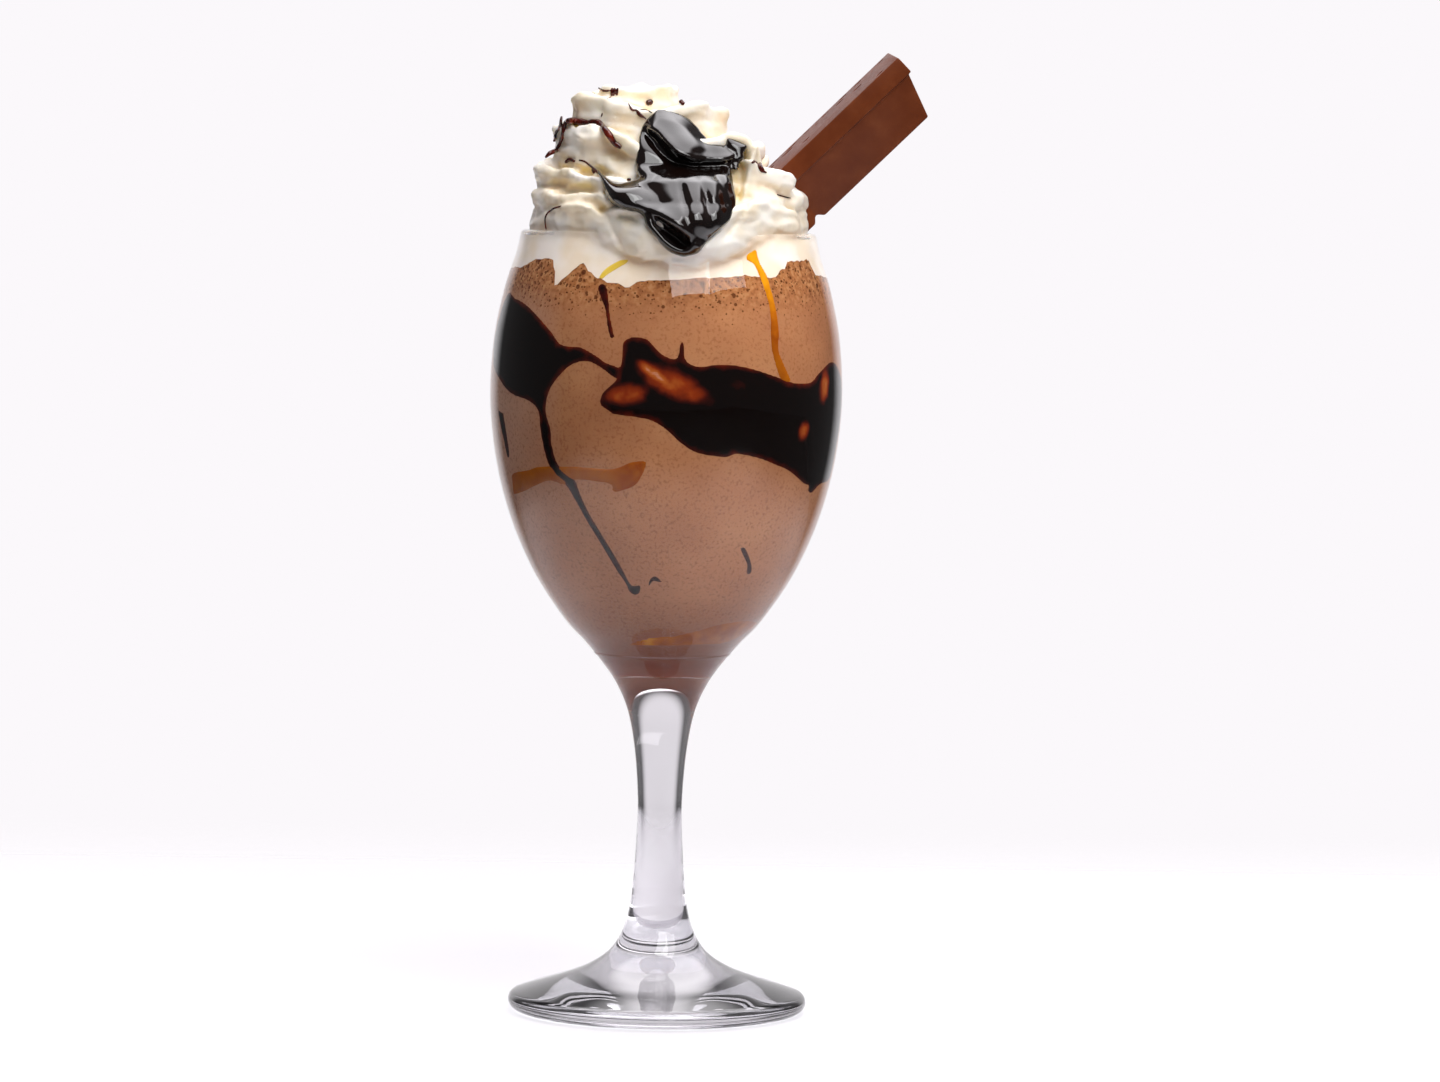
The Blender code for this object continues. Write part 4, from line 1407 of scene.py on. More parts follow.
    def sculpt(self, cream: bpy.types.Object) -> None:
        """Presses the strokes into the front and gives the whole mound uneven swells and small curds.

        Args:
            cream: The fused mound.
        """
        points = read_points(cream)
        flat = np.empty(len(points) * 3)
        cream.data.vertex_normals.foreach_get("vector", flat)
        normals = flat.reshape(-1, 3)
        free = self.free_share(points)
        broad = np.array([noise.noise(Vector(p) * 0.11) for p in points]) * 1.1
        swell = broad + np.array([noise.noise(Vector(p) * 0.31) for p in points]) * 0.35
        curd = np.array([noise.noise(Vector(p) * 0.8) for p in points]) * 0.14
        layer = np.array([abs(noise.noise(Vector((x * 0.13, y * 0.13, z * 0.42)))) for x, y, z in points])
        wrinkle = 0.35 - 1.5 * np.minimum(layer, 0.35)
        moved = points + normals * ((swell + curd + wrinkle) * free)[:, None]
        facing = np.clip(-normals[:, 1] * 2.0 + 0.4, 0, 1) * (points[:, 1] < 0) * free
        places = points[:, [0, 2]]
        for stroke in self.strokes:
            moved[:, 1] += stroke.reach(places) * facing
        place_points(cream, moved)

    def build(self) -> bpy.types.Object:
        """Fuses the rolls, sculpts their front and gives them fine relief.

        Returns:
            The mound.
        """
        rolls = self.roll(*self.spiral(), 0.62)
        cream = join("whipped_cream_mound", [*rolls, *self.core(), *self.side_tufts()])
        modify(cream, "REMESH", mode="VOXEL", voxel_size=self.voxel * MM)
        keep_largest(cream)
        modify(cream, "SMOOTH", factor=0.5, iterations=3)
        self.sculpt(cream)
        modify(cream, "REMESH", mode="VOXEL", voxel_size=self.voxel * MM)
        keep_largest(cream)
        modify(cream, "SMOOTH", factor=0.5, iterations=2)
        return dress(cream, DairyCream().build(), "whipped_cream", "whipped_cream")


# Fudge sauce


def surface_finder(obj: bpy.types.Object) -> Callable[[float, float], float]:
    """Makes a function that gives the depth of the object's front surface at (x, z), in millimetres.

    Args:
        obj: The mesh to find.

    Returns:
        The function.
    """
    bm = bmesh.new()
    bm.from_mesh(obj.data)
    tree = BVHTree.FromBMesh(bm)
    bm.free()

    def find(x: float, z: float) -> float:
        point, _, _, _ = tree.ray_cast(Vector((x, -90.0, z)) * MM, Vector((0, 1, 0)))
        if point is None:
            point, _, _, _ = tree.find_nearest(Vector((x, -12.0, z)) * MM)
        return point.y / MM

    return find


@dataclass
class PouredFudge:
    """Thick fudge sauce poured over the front. Outlines are (x, z) in front view."""

    outline: Outline = (
        (-3.3, 220.1), (-0.3, 219.7), (2.4, 219.0), (5.1, 217.5), (7.5, 214.8), (9.2, 212.9), (11.5, 212.2),
        (13.9, 211.1), (15.7, 209.8), (15.3, 208.5), (14.3, 207.0), (15.0, 204.0), (15.4, 201.0), (15.9, 198.6),
        (14.8, 194.9), (12.9, 192.6), (10.6, 190.5), (8.6, 188.5), (7.3, 186.6), (5.6, 185.8), (3.3, 185.5),
        (0.9, 186.2), (-1.1, 187.7), (-3.2, 190.3), (-5.4, 192.9), (-6.0, 194.8), (-7.3, 195.7), (-10.3, 196.2),
        (-13.0, 197.3), (-14.5, 198.8), (-15.4, 200.8), (-16.4, 203.5), (-17.4, 205.4), (-16.1, 204.4),
        (-13.4, 202.7), (-11.4, 202.5), (-8.4, 203.2), (-6.9, 204.1), (-7.8, 205.6), (-8.0, 208.3),
        (-7.5, 212.6), (-6.6, 216.0), (-4.9, 218.6),
    )
    tip: Outline = (
        (13.0, 214.7), (14.2, 214.0), (16.6, 212.7), (18.5, 211.7), (17.6, 210.3), (17.7, 209.0), (16.7, 208.0),
        (16.2, 206.1), (15.4, 206.3), (15.0, 208.0), (15.6, 209.6), (13.9, 211.3), (13.4, 213.0),
    )
    thickness: float = 2.2
    edge_width: float = 2.4
    grow: float = 0.3
    depth: float = 2.2
    pitch: float = 0.35
    bed_blurs: int = 200
    bulges: Sequence[tuple[float, float, float, float, float, float]] = (
        (1.6, 213.0, 8.6, 5.0, -40.0, 4.4),
        (5.0, 198.2, 10.8, 8.4, -22.0, 5.4),
        (-9.4, 199.2, 7.4, 3.6, -16.0, 2.8),
    )
    fold: Outline = (
        (-4.6, 215.7), (-2.9, 214.7), (-0.8, 212.4), (1.5, 210.1), (3.9, 209.0), (5.9, 208.3), (10.6, 208.4),
        (14.3, 208.6),
    )
    fold_height: float = 1.5
    lean: float = 0.72
    lean_base: float = 198.0
    lean_top: float = 207.0
    lean_ease: float = 4.0
    tuck_depth: float = 1.6
    crease: Outline = ((2.8, 218.4), (5.8, 216.2), (7.5, 213.8), (8.7, 211.5), (9.2, 209.2))
    rope: Outline = (
        (-14.5, 199.1), (-11.6, 197.4), (-8.6, 196.6), (-5.9, 196.3), (-3.2, 195.7), (-0.9, 194.7), (2.5, 192.4),
        (5.2, 189.8), (7.6, 187.8),
    )
    rim: Outline = (
        (-5.4, 194.3), (-4.1, 192.3), (-2.2, 189.5), (-0.2, 187.8), (1.9, 186.9), (4.3, 186.6), (6.4, 187.4),
    )
    pool: Outline = ((-2.6, 192.9), (0.2, 190.8), (3.2, 188.6))
    pool_depth: float = 2.2
    furrows: Outline = ((3.5, 1.7), (8.9, 1.7), (13.2, 1.0))
    furrow_middle: float = 199.0
    furrow_slant: float = 0.22
    furrow_width: float = 1.1
    furrow_length: float = 5.0
    grid_low: Pair = (-23.0, 183.5)
    grid_high: Pair = (21.5, 221.6)
    smoothing: int = 9

    def ridge(self, line: Outline, width: float, places: np.ndarray) -> np.ndarray:
        """1 along a line, falling to 0 about twice the width away from it."""
        distance, _ = nearest_on(smooth_line(line, 6), places)
        return np.exp(-((distance / width) ** 2))

    def swell(self, places: np.ndarray) -> tuple[np.ndarray, np.ndarray]:
        """How far the sauce stands proud at each place, and how far in from its edge that is.

        Args:
            places: Points in front view, one row each.

        Returns:
            The thickness and the distance in.
        """
        edge = depth_within((closed_line(self.outline), closed_line(self.tip)), places) + self.grow
        share = np.clip(edge / self.edge_width, 0, 1)
        held = np.sqrt(share)
        thick = self.thickness * np.sqrt(1 - (1 - share) ** 2)
        for x, z, long, wide, turn_deg, height in self.bulges:
            reach = oval_reach(places, (x, z), (long, wide), turn_deg)
            thick += height * np.clip(1 - reach, 0, 1) * held
        under_fold = np.clip((self.lean_top - places[:, 1]) / self.lean_ease, 0, 1)
        thick += self.lean * np.clip(places[:, 1] - self.lean_base, 0.0, 7.0) * under_fold * held
        distance, away = nearest_on(smooth_line(self.fold, 6), places)
        over = away[:, 1] >= 0
        thick += self.fold_height * np.exp(-((distance / np.where(over, 1.4, 0.7)) ** 2)) * held
        thick -= self.tuck_depth * np.where(over, 0, np.exp(-(((distance - 1.9) / 1.1) ** 2))) * share
        raised = ((self.crease, 0.5, 0.8), (self.rope, 1.7, 1.3), (self.rim, 1.2, 1.0))
        for line, height, width in raised:
            thick += height * self.ridge(line, width, places) * held
        thick -= self.pool_depth * self.ridge(self.pool, 1.5, places) * share
        above = places[:, 1] - self.furrow_middle
        for x, depth in self.furrows:
            lane = np.exp(-(((places[:, 0] - x + self.furrow_slant * above) / self.furrow_width) ** 2))
            thick -= depth * lane * np.exp(-((above / self.furrow_length) ** 2)) * share
        return thick, edge

    @staticmethod
    def blurred(values: np.ndarray, times: int) -> np.ndarray:
        """A grid of values averaged with its neighbours, this many times.

        Args:
            values: The grid.
            times: How often.

        Returns:
            The smoother grid.
        """
        for _ in range(times):
            edge = np.pad(values, 1, mode="edge")
            values = (edge[:-2, 1:-1] + edge[2:, 1:-1] + edge[1:-1, :-2] + edge[1:-1, 2:] + 2 * values) / 6
        return values

    def bed(self, depths: np.ndarray) -> np.ndarray:
        """The smooth foremost depth of the cream, which the sauce bridges over.

        Args:
            depths: The cream's depth on a grid.

        Returns:
            The bed's depth on the same grid.
        """
        foremost = depths.copy()
        for _ in range(5):
            edge = np.pad(foremost, 1, mode="edge")
            foremost = np.minimum.reduce(
                [edge[1:-1, 1:-1], edge[:-2, 1:-1], edge[2:, 1:-1], edge[1:-1, :-2], edge[1:-1, 2:]]
            )
        return self.blurred(0.8 * foremost + 0.2 * depths, self.bed_blurs)

    def build(self, cream: bpy.types.Object) -> bpy.types.Object:
        """Lays the sauce on the cream.

        Args:
            cream: The mound that carries it.

        Returns:
            The sauce.
        """
        find = surface_finder(cream)
        low, high = np.array(self.grid_low), np.array(self.grid_high)
        counts = np.round((high - low) / self.pitch).astype(int)
        pick_none()
        across, upward = int(counts[0]), int(counts[1])
        bpy.ops.mesh.primitive_grid_add(x_subdivisions=across, y_subdivisions=upward, size=1.0)
        sauce = bpy.context.object
        sauce.name = "poured_fudge"
        sauce.data.name = "poured_fudge"
        places = low + (read_points(sauce)[:, :2] * MM + 0.5) * (high - low)
        depths = np.array([find(x, z) for x, z in places])
        order = np.lexsort((places[:, 0], np.round(places[:, 1], 4)))
        rows = upward + 1
        shell = np.empty(len(places))
        shell[order] = self.bed(depths[order].reshape(rows, -1)).ravel()
        thick, edge = self.swell(places)
        sunk = shell + self.depth * np.minimum(1.0, np.maximum(edge, 0) / 1.5)
        rear = np.maximum(sunk, np.minimum(depths, shell + 4.0) + 0.6)
        front = np.column_stack((places[:, 0], shell - thick - 0.05, places[:, 1]))
        place_points(sauce, front)
        paint(sauce, "rear", rear)
        select_points(sauce, edge <= 0)
        bpy.ops.object.mode_set(mode="EDIT")
        bpy.ops.mesh.delete(type="VERT")
        bpy.ops.mesh.select_all(action="SELECT")
        bpy.ops.mesh.extrude_region_move()
        bpy.ops.object.mode_set(mode="OBJECT")
        points = read_points(sauce)
        behind = np.zeros(len(points), dtype=bool)
        sauce.data.vertices.foreach_get("select", behind)
        stored = np.zeros(len(points), dtype=np.float32)
        sauce.data.attributes["rear"].data.foreach_get("value", stored)
        points[behind, 1] = stored[behind]
        place_points(sauce, points)
        close_and_turn_out(sauce)
        modify(sauce, "REMESH", mode="VOXEL", voxel_size=self.pitch * MM)
        keep_largest(sauce)
        modify(sauce, "SMOOTH", factor=0.5, iterations=self.smoothing)
        return dress(sauce, FudgeSauce().build(), "fudge", "fudge_sauce")


@dataclass
class FineDrizzles:
    """Thin sauce trailed over the cream's front. Lines are (x, z) in front view, with a radius each."""

    lines: Sequence[tuple[float, Outline]] = (
        (0.55, ((-30.1, 208.2), (-29.0, 209.3), (-27.4, 210.3), (-26.1, 213.2), (-25.5, 216.4), (-24.6, 217.2))),
        (0.85, (
            (-25.6, 216.6), (-24.6, 217.2), (-22.9, 217.1), (-20.0, 216.7), (-17.5, 216.8), (-15.9, 215.4),
            (-14.5, 213.7), (-13.3, 212.0), (-11.7, 210.9),
        )),
        (0.45, ((-26.3, 218.2), (-26.7, 215.9), (-27.8, 214.1), (-28.1, 212.3))),
        (0.28, ((-17.5, 225.2), (-16.2, 224.6), (-14.7, 224.7))),
        (0.34, ((-14.2, 225.4), (-14.4, 223.4))),
        (0.3, ((-13.6, 225.4), (-13.9, 223.4))),
        (0.32, ((-12.9, 225.4), (-13.1, 223.5))),
        (0.2, ((-14.4, 223.3), (-15.3, 222.5))),
        (0.22, ((-19.2, 224.0), (-18.6, 224.2))),
        (0.2, ((-16.4, 219.2), (-16.7, 218.2))),
        (0.45, ((-25.3, 207.1), (-24.2, 207.8), (-22.8, 207.4))),
        (0.3, ((-21.9, 207.8), (-20.4, 207.4), (-18.7, 206.1), (-17.5, 205.1), (-16.4, 203.6), (-15.0, 202.0))),
        (0.35, ((-18.7, 205.7), (-18.1, 204.6))),
        (0.26, ((-29.5, 190.9), (-29.8, 193.2), (-29.3, 194.8), (-28.1, 195.8), (-27.1, 196.3), (-25.8, 196.7))),
        (0.28, ((-10.2, 221.6), (-9.3, 220.1), (-8.2, 219.9), (-7.0, 218.8), (-5.8, 217.8))),
        (0.24, ((-8.2, 219.4), (-7.3, 218.5), (-6.1, 218.2))),
        (0.2, ((-7.3, 220.2), (-5.8, 220.0), (-4.4, 219.4))),
        (0.6, ((-6.0, 221.8), (-5.2, 222.0), (-4.4, 222.3))),
        (0.55, ((2.2, 222.6), (2.7, 222.0), (3.2, 221.7))),
        (0.4, ((-10.2, 203.3), (-9.2, 203.3))),
        (0.4, ((19.6, 207.7), (20.4, 208.1), (21.3, 207.2), (22.0, 206.0), (23.3, 205.5))),
        (0.45, ((21.6, 207.9), (22.0, 206.7), (22.6, 205.6))),
        (0.2, ((25.8, 200.3), (27.5, 199.8), (29.4, 199.4))),
    )
    voxel: float = 0.13

    def build(self, cream: bpy.types.Object) -> bpy.types.Object:
        """Trails every line over the cream.

        Args:
            cream: The mound that carries them.

        Returns:
            The drizzles as one piece.
        """
        find = surface_finder(cream)
        made = []
        for width, line in self.lines:
            path, radii = [], []
            smooth = smooth_line(line, 8)
            for i, (x, z) in enumerate(smooth):
                share = min(i, len(smooth) - 1 - i) / (len(smooth) - 1)
                swell = 1 + 0.22 * noise.noise(Vector((x, z, 4.0)) * 0.9)
                radius = width * swell * (0.6 + 0.4 * min(1.0, share * 5))
                path.append(Vector((x, find(x, z) - radius * 0.45, z)))
                radii.append(radius)
            made.append(tube(self.relaxed(path), radii))
        drizzles = join("fine_drizzles", made)
        modify(drizzles, "REMESH", mode="VOXEL", voxel_size=self.voxel * MM)
        modify(drizzles, "SMOOTH", factor=0.5, iterations=2)
        return dress(drizzles, RedDrizzle().build(), "fudge")

    @staticmethod
    def relaxed(path: Sequence[Vector]) -> list[Vector]:
        """Evens out jumps in depth between neighbouring points, and stays on the near side.

        Args:
            path: The line's points.

        Returns:
            The evened points.
        """
        depths = [p.y for p in path]
        for _ in range(8):
            held = [depths[0], *depths, depths[-1]]
            depths = [min(b, 0.25 * a + 0.5 * b + 0.25 * c + 0.4) for a, b, c in zip(held, held[1:], held[2:])]
        for _ in range(4):
            held = [depths[0], *depths, depths[-1]]
            depths = [0.25 * a + 0.5 * b + 0.25 * c for a, b, c in zip(held, held[1:], held[2:])]
        return [Vector((p.x, y, p.z)) for p, y in zip(path, depths)]


# Chocolate bar


@dataclass
class ChocolateBar:
    """A bar of two blocks with a lip round its flat back, leaning out over the rim."""

    angle_deg: float = 44.5
    roll_deg: float = 6.0
    width: float = 22.0
    lip_height: float = 4.7
    height: float = 15.8
    lip_step: float = 0.8
    side_draft_deg: float = 7.0
    end_draft_deg: float = 18.0
    block: float = 39.0
    score_width: float = 3.2
    score_depth: float = 1.3
    score_floor: float = 0.7
    score_side: float = 0.5
    tip: tuple[float, float, float] = (62.6, -3.2, 219.6)
    edge_round: float = 0.5
    pit_count: int = 26
    pit_seed: int = 3

    def placement(self) -> Matrix:
        """Where the bar leans, from its own frame: X back from the tip, Y across, Z up from the flat back.

        Returns:
            The placing matrix.
        """
        angle, roll = math.radians(self.angle_deg), math.radians(self.roll_deg)
        back_along = Vector((-math.cos(angle), 0, -math.sin(angle)))
        flat = Vector((-math.sin(angle), 0, math.cos(angle)))
        to_top = -(flat * math.cos(roll) + Vector((0, -1, 0)) * math.sin(roll))
        across = to_top.cross(back_along)
        turn = Matrix((back_along, across, to_top)).transposed().to_4x4()
        draft = math.tan(math.radians(self.side_draft_deg)) * (self.height - self.lip_height)
        end = self.lip_step + math.tan(math.radians(self.end_draft_deg)) * (self.height - self.lip_height)
        near = -1 if across.y > 0 else 1
        corner = Vector((end, near * (self.width / 2 - self.lip_step - draft), self.height))
        return Matrix.Translation((Vector(self.tip) - turn.to_3x3() @ corner) * MM) @ turn

    def length(self) -> float:
        """The bar's whole length."""
        return 2 * self.block + self.score_width

    def shape(self) -> bpy.types.Object:
        """Models the bar in its own frame: a slab, an inset block on it, and a score line across.

        Returns:
            The bar.
        """
        long = self.length()
        pick_none()
        bpy.ops.mesh.primitive_cube_add(size=1.0, location=(long / 2 * MM, 0, self.lip_height / 2 * MM))
        bar = bpy.context.object
        bar.scale = (long * MM, self.width * MM, self.lip_height * MM)
        settle(bar)
        bar.name = bar.data.name = "wafer_bar"
        rise = self.height - self.lip_height
        bpy.ops.object.mode_set(mode="EDIT")
        bpy.ops.mesh.select_all(action="DESELECT")
        bpy.ops.object.mode_set(mode="OBJECT")
        for face in bar.data.polygons:
            face.select = face.normal.z > 0.9
        bpy.ops.object.mode_set(mode="EDIT")
        bpy.ops.mesh.inset(thickness=self.lip_step * MM)
        bpy.ops.mesh.extrude_region_move(TRANSFORM_OT_translate={"value": (0, 0, rise * MM)})
        end_in = math.tan(math.radians(self.end_draft_deg)) * rise
        side_in = math.tan(math.radians(self.side_draft_deg)) * rise
        top_long, top_wide = long - 2 * self.lip_step, self.width - 2 * self.lip_step
        bpy.ops.transform.resize(value=(1 - 2 * end_in / top_long, 1 - 2 * side_in / top_wide, 1.0))
        middle = self.block + self.score_width / 2
        bpy.ops.mesh.select_all(action="SELECT")
        groove = self.score_floor / 2
        for x in (self.block, middle - groove, middle + groove, self.block + self.score_width):
            bpy.ops.mesh.select_all(action="SELECT")
            bpy.ops.mesh.bisect(plane_co=(x * MM, 0, 0), plane_no=(1, 0, 0))
        bpy.ops.object.mode_set(mode="OBJECT")
        points = read_points(bar)
        near = np.abs(points[:, 0] - middle) < 0.5
        in_score = near & (points[:, 2] > self.lip_height + 0.01)
        points[in_score, 2] -= self.score_depth
        points[in_score, 1] -= np.sign(points[in_score, 1]) * self.score_side
        foot = near & (np.abs(points[:, 2] - self.lip_height) < 0.01)
        foot &= np.abs(points[:, 1]) < self.width / 2 - 0.1
        points[foot, 1] -= np.sign(points[foot, 1]) * self.score_side
        place_points(bar, points)
        sharp = math.radians(25)
        modify(bar, "BEVEL", width=self.edge_round * MM, segments=3, limit_method="ANGLE", angle_limit=sharp)
        return bar

    def pits(self) -> bpy.types.Object:
        """Small air holes along the flat back, near its front edge and across it.

        Returns:
            Their mesh.
        """
        draw = random.Random(self.pit_seed)
        made = []
        for k in range(self.pit_count):
            x = 2.5 + (self.length() - 6) * (k + draw.uniform(0.1, 0.9)) / self.pit_count
            near_edge = k % 2 == 0
            y = self.width / 2 - draw.uniform(1.6, 2.6) if near_edge else draw.uniform(-8, 8)
            pick_none()
            size = draw.uniform(0.45, 0.9)
            place = (x * MM, y * MM, -0.1 * MM)
            bpy.ops.mesh.primitive_ico_sphere_add(subdivisions=3, radius=size * MM, location=place)
            pit = bpy.context.object
            pit.scale = (draw.uniform(1.2, 2.4), draw.uniform(0.8, 1.1), 0.7)
            made.append(settle(pit))
        return join("bar_pits", made)

    def build(self) -> bpy.types.Object:
        """Models the bar, pits its back and leans it in the drink.

        Returns:
            The bar.
        """
        bar = self.shape()
        pits = self.pits()
        modify(bar, "BOOLEAN", operation="DIFFERENCE", object=pits, solver="EXACT", use_self=True)
        bpy.data.objects.remove(pits)
        bar.data.transform(self.placement())
        close_and_turn_out(bar)
        return dress(bar, MilkChocolate().build(), "milk_chocolate", "chocolate_bar", Shading.CRISP)


# Studio


@dataclass
class Studio:
    """A pale table, soft lamps and a camera at the photograph's angle."""

    distance: float = 1400.0
    eye_height: float = 208.2
    focal_px: float = 5738.0
    pitch_deg: float = 3.793
    yaw_deg: float = -0.561
    roll_deg: float = -0.926
    picture_width: int = 1440
    table_gap: float = 0.15
    table_front: float = -1.3
    table_end: float = 0.42
    wall_fade: Pair = (0.74, 0.92)
    overhead: tuple[float, float, float] = (0.1, 0.3, 0.95)
    overhead_fade: Pair = (0.8, 0.9)
    overhead_strength: float = 3.6
    dark: float = 0.1
    key_watts: Pair = (6.6, 4.3)
    key_turns_deg: Pair = (17.0, 46.0)
    key_size: Pair = (0.48, 0.84)
    key_height_deg: float = 49.0
    floor_dark: float = -0.42
    floor_light: float = -0.14
    floor_sides: Pair = (0.46, 0.25)
    aim_height: float = 0.18

    def camera(self) -> None:
        """Stands the camera where the photograph's stood."""
        pitch, yaw, roll = (math.radians(v) for v in (self.pitch_deg, self.yaw_deg, self.roll_deg))
        ahead = Vector((-math.sin(yaw) * math.cos(pitch), math.cos(yaw) * math.cos(pitch), -math.sin(pitch)))
        right = ahead.cross(Vector((0, 0, 1))).normalized()
        up = right.cross(ahead)
        across = math.cos(roll) * right - math.sin(roll) * up
        upward = math.sin(roll) * right + math.cos(roll) * up
        turn = Matrix((across, upward, -ahead)).transposed().to_4x4()
        data = bpy.data.cameras.new("camera")
        data.sensor_width = 36.0
        data.lens = 36.0 * self.focal_px / self.picture_width
        data.clip_end = 20.0
        stand = bpy.data.objects.new("camera", data)
        bpy.context.scene.collection.objects.link(stand)
        stand.matrix_world = Matrix.Translation(Vector((0, -self.distance, self.eye_height)) * MM) @ turn
        bpy.context.scene.camera = stand

    def table(self) -> None:
        """A table top, white under the glass, with painted shade that darkens it towards the camera and the
        sides.
        """
        pick_none()
        bpy.ops.mesh.primitive_plane_add(size=1.0, location=(0, 0, 0))
        floor = bpy.context.object
        floor.name = "table_top"
        floor.scale = (2.6, self.table_end - self.table_front, 1.0)
        floor.location = (0, (self.table_end + self.table_front) / 2, -self.table_gap * MM)
        settle(floor)
        material, tree, shader, place = Finish("white_laminate").blank(Roughness=0.6)
        axes = add_node(tree, "ShaderNodeSeparateXYZ", {"Vector": place})
        ahead = axes.outputs["Y"]
        # Painted shade: dark grey towards the camera and the sides, standing in for the dim room there.
        near = mapped(tree, ahead, (self.floor_dark, self.floor_light), eased=True)
        beside = mapped(tree, maths(tree, "ABSOLUTE", axes.outputs["X"]), self.floor_sides, eased=True)
        lit = maths(tree, "MULTIPLY", near, beside)
        tree.links.new(mixed(tree, lit, linear("#2c2b2c"), linear("#e6e5e8")), shader.inputs["Base Color"])
        end = mapped(tree, ahead, (self.table_end - 0.32, self.table_end - 0.02), eased=True)
        gone = add_node(tree, "ShaderNodeBsdfTransparent")
        faded = add_node(tree, "ShaderNodeMixShader", {0: end, 1: shader.outputs[0], 2: gone.outputs[0]})
        tree.links.new(faded.outputs[0], tree.nodes["Material Output"].inputs["Surface"])
        floor.data.materials.append(material)

    def room(self) -> None:
        """Lights the room from a white wall and a soft lamp behind, and leaves the camera's side dark."""
        world = bpy.data.worlds.new("studio")
        bpy.context.scene.world = world
        world.use_nodes = True
        tree = world.node_tree
        place = add_node(tree, "ShaderNodeTexCoord").outputs["Generated"]
        axes = add_node(tree, "ShaderNodeSeparateXYZ", {"Vector": place})
        behind = mapped(tree, axes.outputs["Y"], self.wall_fade, eased=True)
        inputs = {0: place, 1: Vector(self.overhead).normalized()}
        facing = add_node(tree, "ShaderNodeVectorMath", inputs, operation="DOT_PRODUCT").outputs["Value"]
        above = mapped(tree, facing, self.overhead_fade, (0.0, self.overhead_strength), eased=True)
        level = maths(tree, "MAXIMUM", maths(tree, "MAXIMUM", behind, above), self.dark)
        back = tree.nodes["Background"]
        back.inputs["Color"].default_value = linear("#fbf8fb")
        tree.links.new(level, back.inputs["Strength"])

    def lamp(self, name: str, place: Sequence[float], aim: Sequence[float], size: Pair, watts: float) -> None:
        """Hangs a rectangular soft lamp.

        Args:
            name: The lamp's name.
            place: Where it hangs, in metres.
            aim: The point it faces.
            size: Its width and height in metres.
            watts: Its power.
        """
        data = bpy.data.lights.new(name, "AREA")
        data.shape = "RECTANGLE"
        data.size, data.size_y = size
        data.energy = watts
        stand = bpy.data.objects.new(name, data)
        bpy.context.scene.collection.objects.link(stand)
        stand.location = place
        stand.rotation_euler = (Vector(aim) - Vector(place)).to_track_quat("-Z", "Y").to_euler()

    def build(self) -> None:
        """Sets up the whole studio."""
        self.camera()
        self.table()
        self.room()
        for name, turn, watts in zip(("key_left", "key_right"), self.key_turns_deg, self.key_watts):
            azimuth, height = math.radians(turn), math.radians(self.key_height_deg)
            place = (
                math.sin(azimuth) * math.cos(height),
                -math.cos(azimuth) * math.cos(height),
                math.sin(height) + self.aim_height,
            )
            self.lamp(name, place, (0, 0, self.aim_height), self.key_size, watts)
        bpy.context.scene.view_settings.view_transform = "Standard"


# All of it


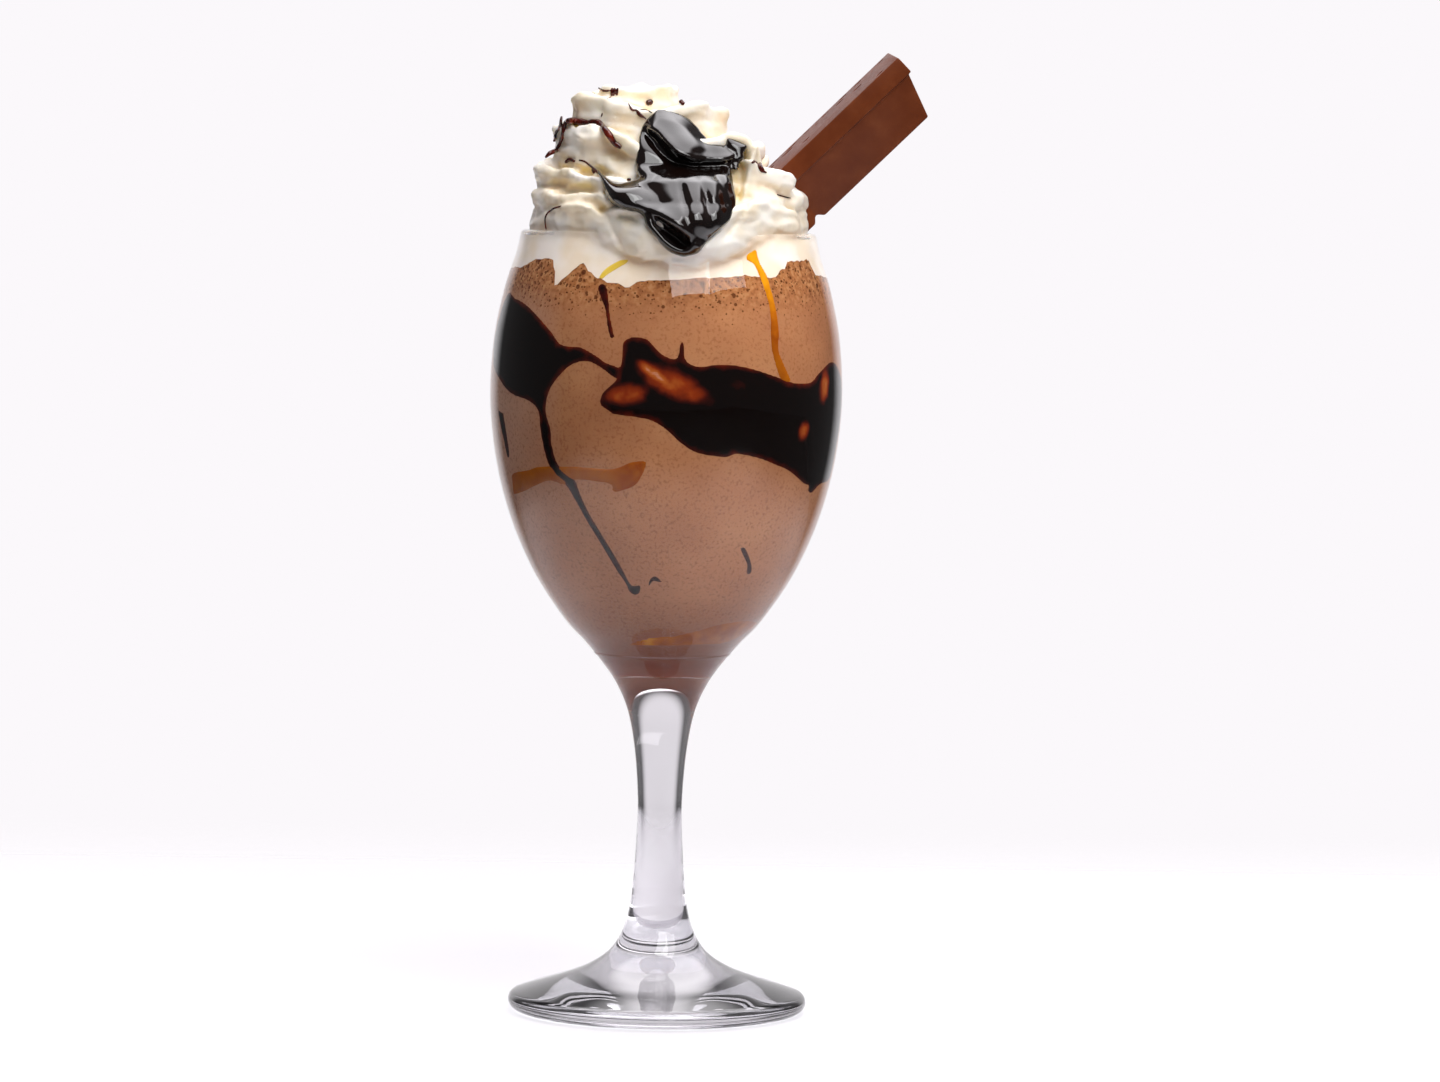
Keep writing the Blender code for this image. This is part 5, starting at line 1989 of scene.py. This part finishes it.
def dark_films() -> WallFilm:
    """The dark sauce inside the bowl: two broad smears, a long drip and small drops.

    Returns:
        The film, not yet built.
    """
    left = (
        (-86, 163.0), (-78.2, 174.5), (-67.4, 174.0), (-60.6, 173.2), (-54.6, 171.7), (-48.7, 169.5),
        (-42.6, 166.6), (-38.6, 164.1), (-34.4, 163.5), (-29.6, 163.3), (-24.2, 161.6), (-20.5, 160.0),
        (-15.5, 158.6), (-16.4, 156.0), (-22.5, 158.6), (-27.4, 159.9), (-33.0, 159.0), (-37.6, 156.3),
        (-41.7, 152.7),
        (-43.2, 148.1), (-41.3, 143.5), (-41.2, 140.0), (-39.7, 136.0), (-36.9, 134.1), (-32.7, 131.9),
        (-30.9, 128.2), (-28.0, 123.6), (-23.3, 117.9), (-18.5, 112.1), (-15.2, 107.7), (-13.6, 107.1),
        (-10.8, 107.2), (-10.0, 106.3), (-11.1, 104.6), (-14.0, 103.9), (-17.0, 105.0), (-17.9, 106.8),
        (-21.3, 110.3), (-25.9, 116.1), (-30.5, 121.8), (-33.9, 126.4), (-37.2, 130.2), (-41.6, 132.5),
        (-44.2, 135.3), (-45.6, 138.7), (-46.7, 143.8), (-47.3, 147.8), (-52.3, 150.0), (-62.6, 151.4),
        (-72.9, 154.6), (-82.6, 158.0),
    )
    right = (
        (-21.9, 149.6), (-22.2, 151.5), (-20.9, 153.2), (-18.8, 154.6), (-16.8, 156.1), (-15.3, 160.1),
        (-14.9, 164.6), (-12.9, 165.8), (-10.8, 166.1), (-6.7, 165.7), (-3.6, 163.6), (-0.9, 162.0),
        (3.1, 161.3), (4.4, 164.8), (5.7, 164.8), (6.4, 161.1), (10.4, 159.5), (18.6, 160.0),
        (27.6, 159.3), (39.0, 157.1), (46.5, 155.6), (55.4, 155.5), (61.2, 157.7), (71.2, 160.1),
        (80.5, 157.8), (86.9, 152.9), (85.9, 145.8), (83.3, 138.9), (82.1, 131.8),
        (70.3, 130.5), (65.0, 128.6), (61.3, 129.2), (60.7, 130.5), (56.9, 131.1), (47.3, 134.3), (41.1, 135.7),
        (33.5, 137.4), (24.9, 138.5), (20.5, 137.8), (11.1, 138.7), (5.3, 140.9), (-0.1, 144.3),
        (-5.2, 146.4), (-11.9, 147.2), (-18.4, 147.8),
    )
    drip = (
        (-25.9, 176.8), (-24.9, 178.4), (-22.6, 177.9), (-21.2, 175.5), (-20.1, 171.7), (-18.5, 167.6),
        (-17.9, 166.0), (-19.4, 165.6), (-20.9, 168.5), (-22.7, 173.1),
    )
    comma = (
        (-7.6, 106.2), (-6.7, 108.3), (-4.6, 109.4), (-2.3, 109.2), (0.8, 107.4), (-2.0, 107.3), (-4.5, 107.5),
        (-6.0, 106.4),
    )
    tick = (
        (31.5, 115.8), (34.0, 116.5), (37.5, 114.5), (41.3, 111.6), (42.3, 109.8), (40.7, 109.1), (38.5, 109.8),
        (37.6, 111.6), (34.1, 113.9),
    )
    line = ((-73.8, 147.4), (-70.6, 140.2), (-69.2, 136.2), (-66.9, 136.2), (-66.4, 139.8), (-69.0, 147.4))
    speck = ((68.8, 93.9), (67.1, 95.1), (76.5, 95.1), (82.8, 94.0), (75.9, 93.5))
    windows = (
        ThinSpot(-13.5, 152.6, 5.6, 2.9, 6.0, 0.8), ThinSpot(-3.6, 157.4, 5.6, 1.7, -37.0, 1.0),
        ThinSpot(2.4, 155.2, 9.6, 3.6, -27.0, 0.76), ThinSpot(9.6, 152.8, 3.2, 2.6, 0.0, 0.8),
        ThinSpot(64.5, 154.2, 4.6, 2.6, 78.0, 0.92), ThinSpot(52.7, 143.9, 2.7, 2.2, 70.0, 0.84),
        ThinSpot(24.0, 153.5, 7.0, 3.4, -20.0, 0.3),
    )
    return WallFilm(
        "dark_smears",
        ThinSauce("dark_sauce_film"),
        "fudge",
        (left, right, drip, comma, tick, line, speck),
        windows,
    )


def caramel_films() -> WallFilm:
    """The caramel inside the bowl, which runs from yellow at the rim to brown lower down.

    Returns:
        The film, not yet built.
    """
    streak = (
        (31.1, 188.9), (37.3, 188.9), (36.8, 186.8), (37.4, 183.9), (39.5, 180.5), (40.2, 177.8), (41.0, 174.9),
        (41.4, 170.7), (41.3, 166.8), (40.7, 163.2), (42.7, 159.9), (45.6, 155.8), (41.1, 155.9), (38.3, 160.4),
        (37.2, 164.4), (37.6, 169.1), (37.7, 173.8), (36.3, 178.5), (34.3, 183.0), (30.7, 184.7),
    )
    band = (
        (-67.9, 132.1), (-54.9, 133.8), (-48.0, 134.8), (-31.6, 135.3), (-18.8, 135.0), (-11.9, 136.7),
        (-6.9, 137.1), (-6.1, 135.9), (-7.6, 133.3), (-10.4, 130.7), (-16.7, 129.1), (-19.1, 129.5),
        (-20.1, 131.0), (-32.3, 131.6), (-37.2, 130.2), (-44.3, 131.0), (-52.5, 129.5), (-61.1, 127.8),
        (-71.0, 127.2),
    )
    low = (
        (-30.0, 92.3), (-9.0, 94.6), (7.8, 95.2), (23.3, 96.5), (38.2, 98.0), (57.7, 98.6), (79.8, 97.7),
        (72.3, 94.4), (56.3, 91.8), (33.5, 91.2), (-11.5, 90.9), (-27.5, 90.7),
    )
    stops = ((0.0, "#a65c06"), (0.3, "#8f4303"), (0.55, "#b5640a"), (1.0, "#f5ab14"))

    def run_down(level: np.ndarray, places: np.ndarray) -> np.ndarray:
        """Thick and yellow near the rim, brown in the band and thin again at the bottom."""
        rim = np.clip((places[:, 1] - 158) / 24, 0.0, 1.0) * (0.7 + 0.3 * level)
        end = 0.3 * np.exp(-(((places[:, 0] + 7.0) / 4.0) ** 2)) * (places[:, 1] < 150)
        bottom = 0.4 * (places[:, 1] < 100)
        return np.maximum(0.03, rim + end + bottom)

    return WallFilm(
        "caramel_streaks",
        ThinSauce("caramel_film", stops),
        "fudge",
        (streak, band, low),
        lift=0.3,
        drift=run_down,
    )


def yellow_film() -> WallFilm:
    """A thin thread of caramel against the cream, pale because the cream shows through it.

    Returns:
        The film, not yet built.
    """
    thread = (
        (-9.1, 186.4), (-8.6, 185.5), (-14.6, 183.4), (-21.2, 180.9), (-24.8, 179.2), (-26.3, 179.7),
        (-23.9, 182.1),
        (-18.0, 184.6), (-12.6, 186.0),
    )
    stops = ((0.0, "#edd98a"), (0.6, "#e6c64c"), (1.0, "#e2bd3c"))
    return WallFilm("caramel_thread", ThinSauce("thin_caramel_film", stops), "fudge", (thread,), lift=0.2)


def main() -> None:
    """Builds every piece in order."""
    logging.basicConfig(level=logging.INFO, format="%(message)s")
    Studio().build()
    glass = StemmedGlass()
    glass.build()
    drink = Drink(glass)
    drink.build()
    dark_films().build(glass)
    caramel_films().build(glass)
    yellow_film().build(glass)
    cream = WhippedCream(glass, drink).build()
    PouredFudge().build(cream)
    FineDrizzles().build(cream)
    ChocolateBar().build()


if __name__ == "__main__":
    main()
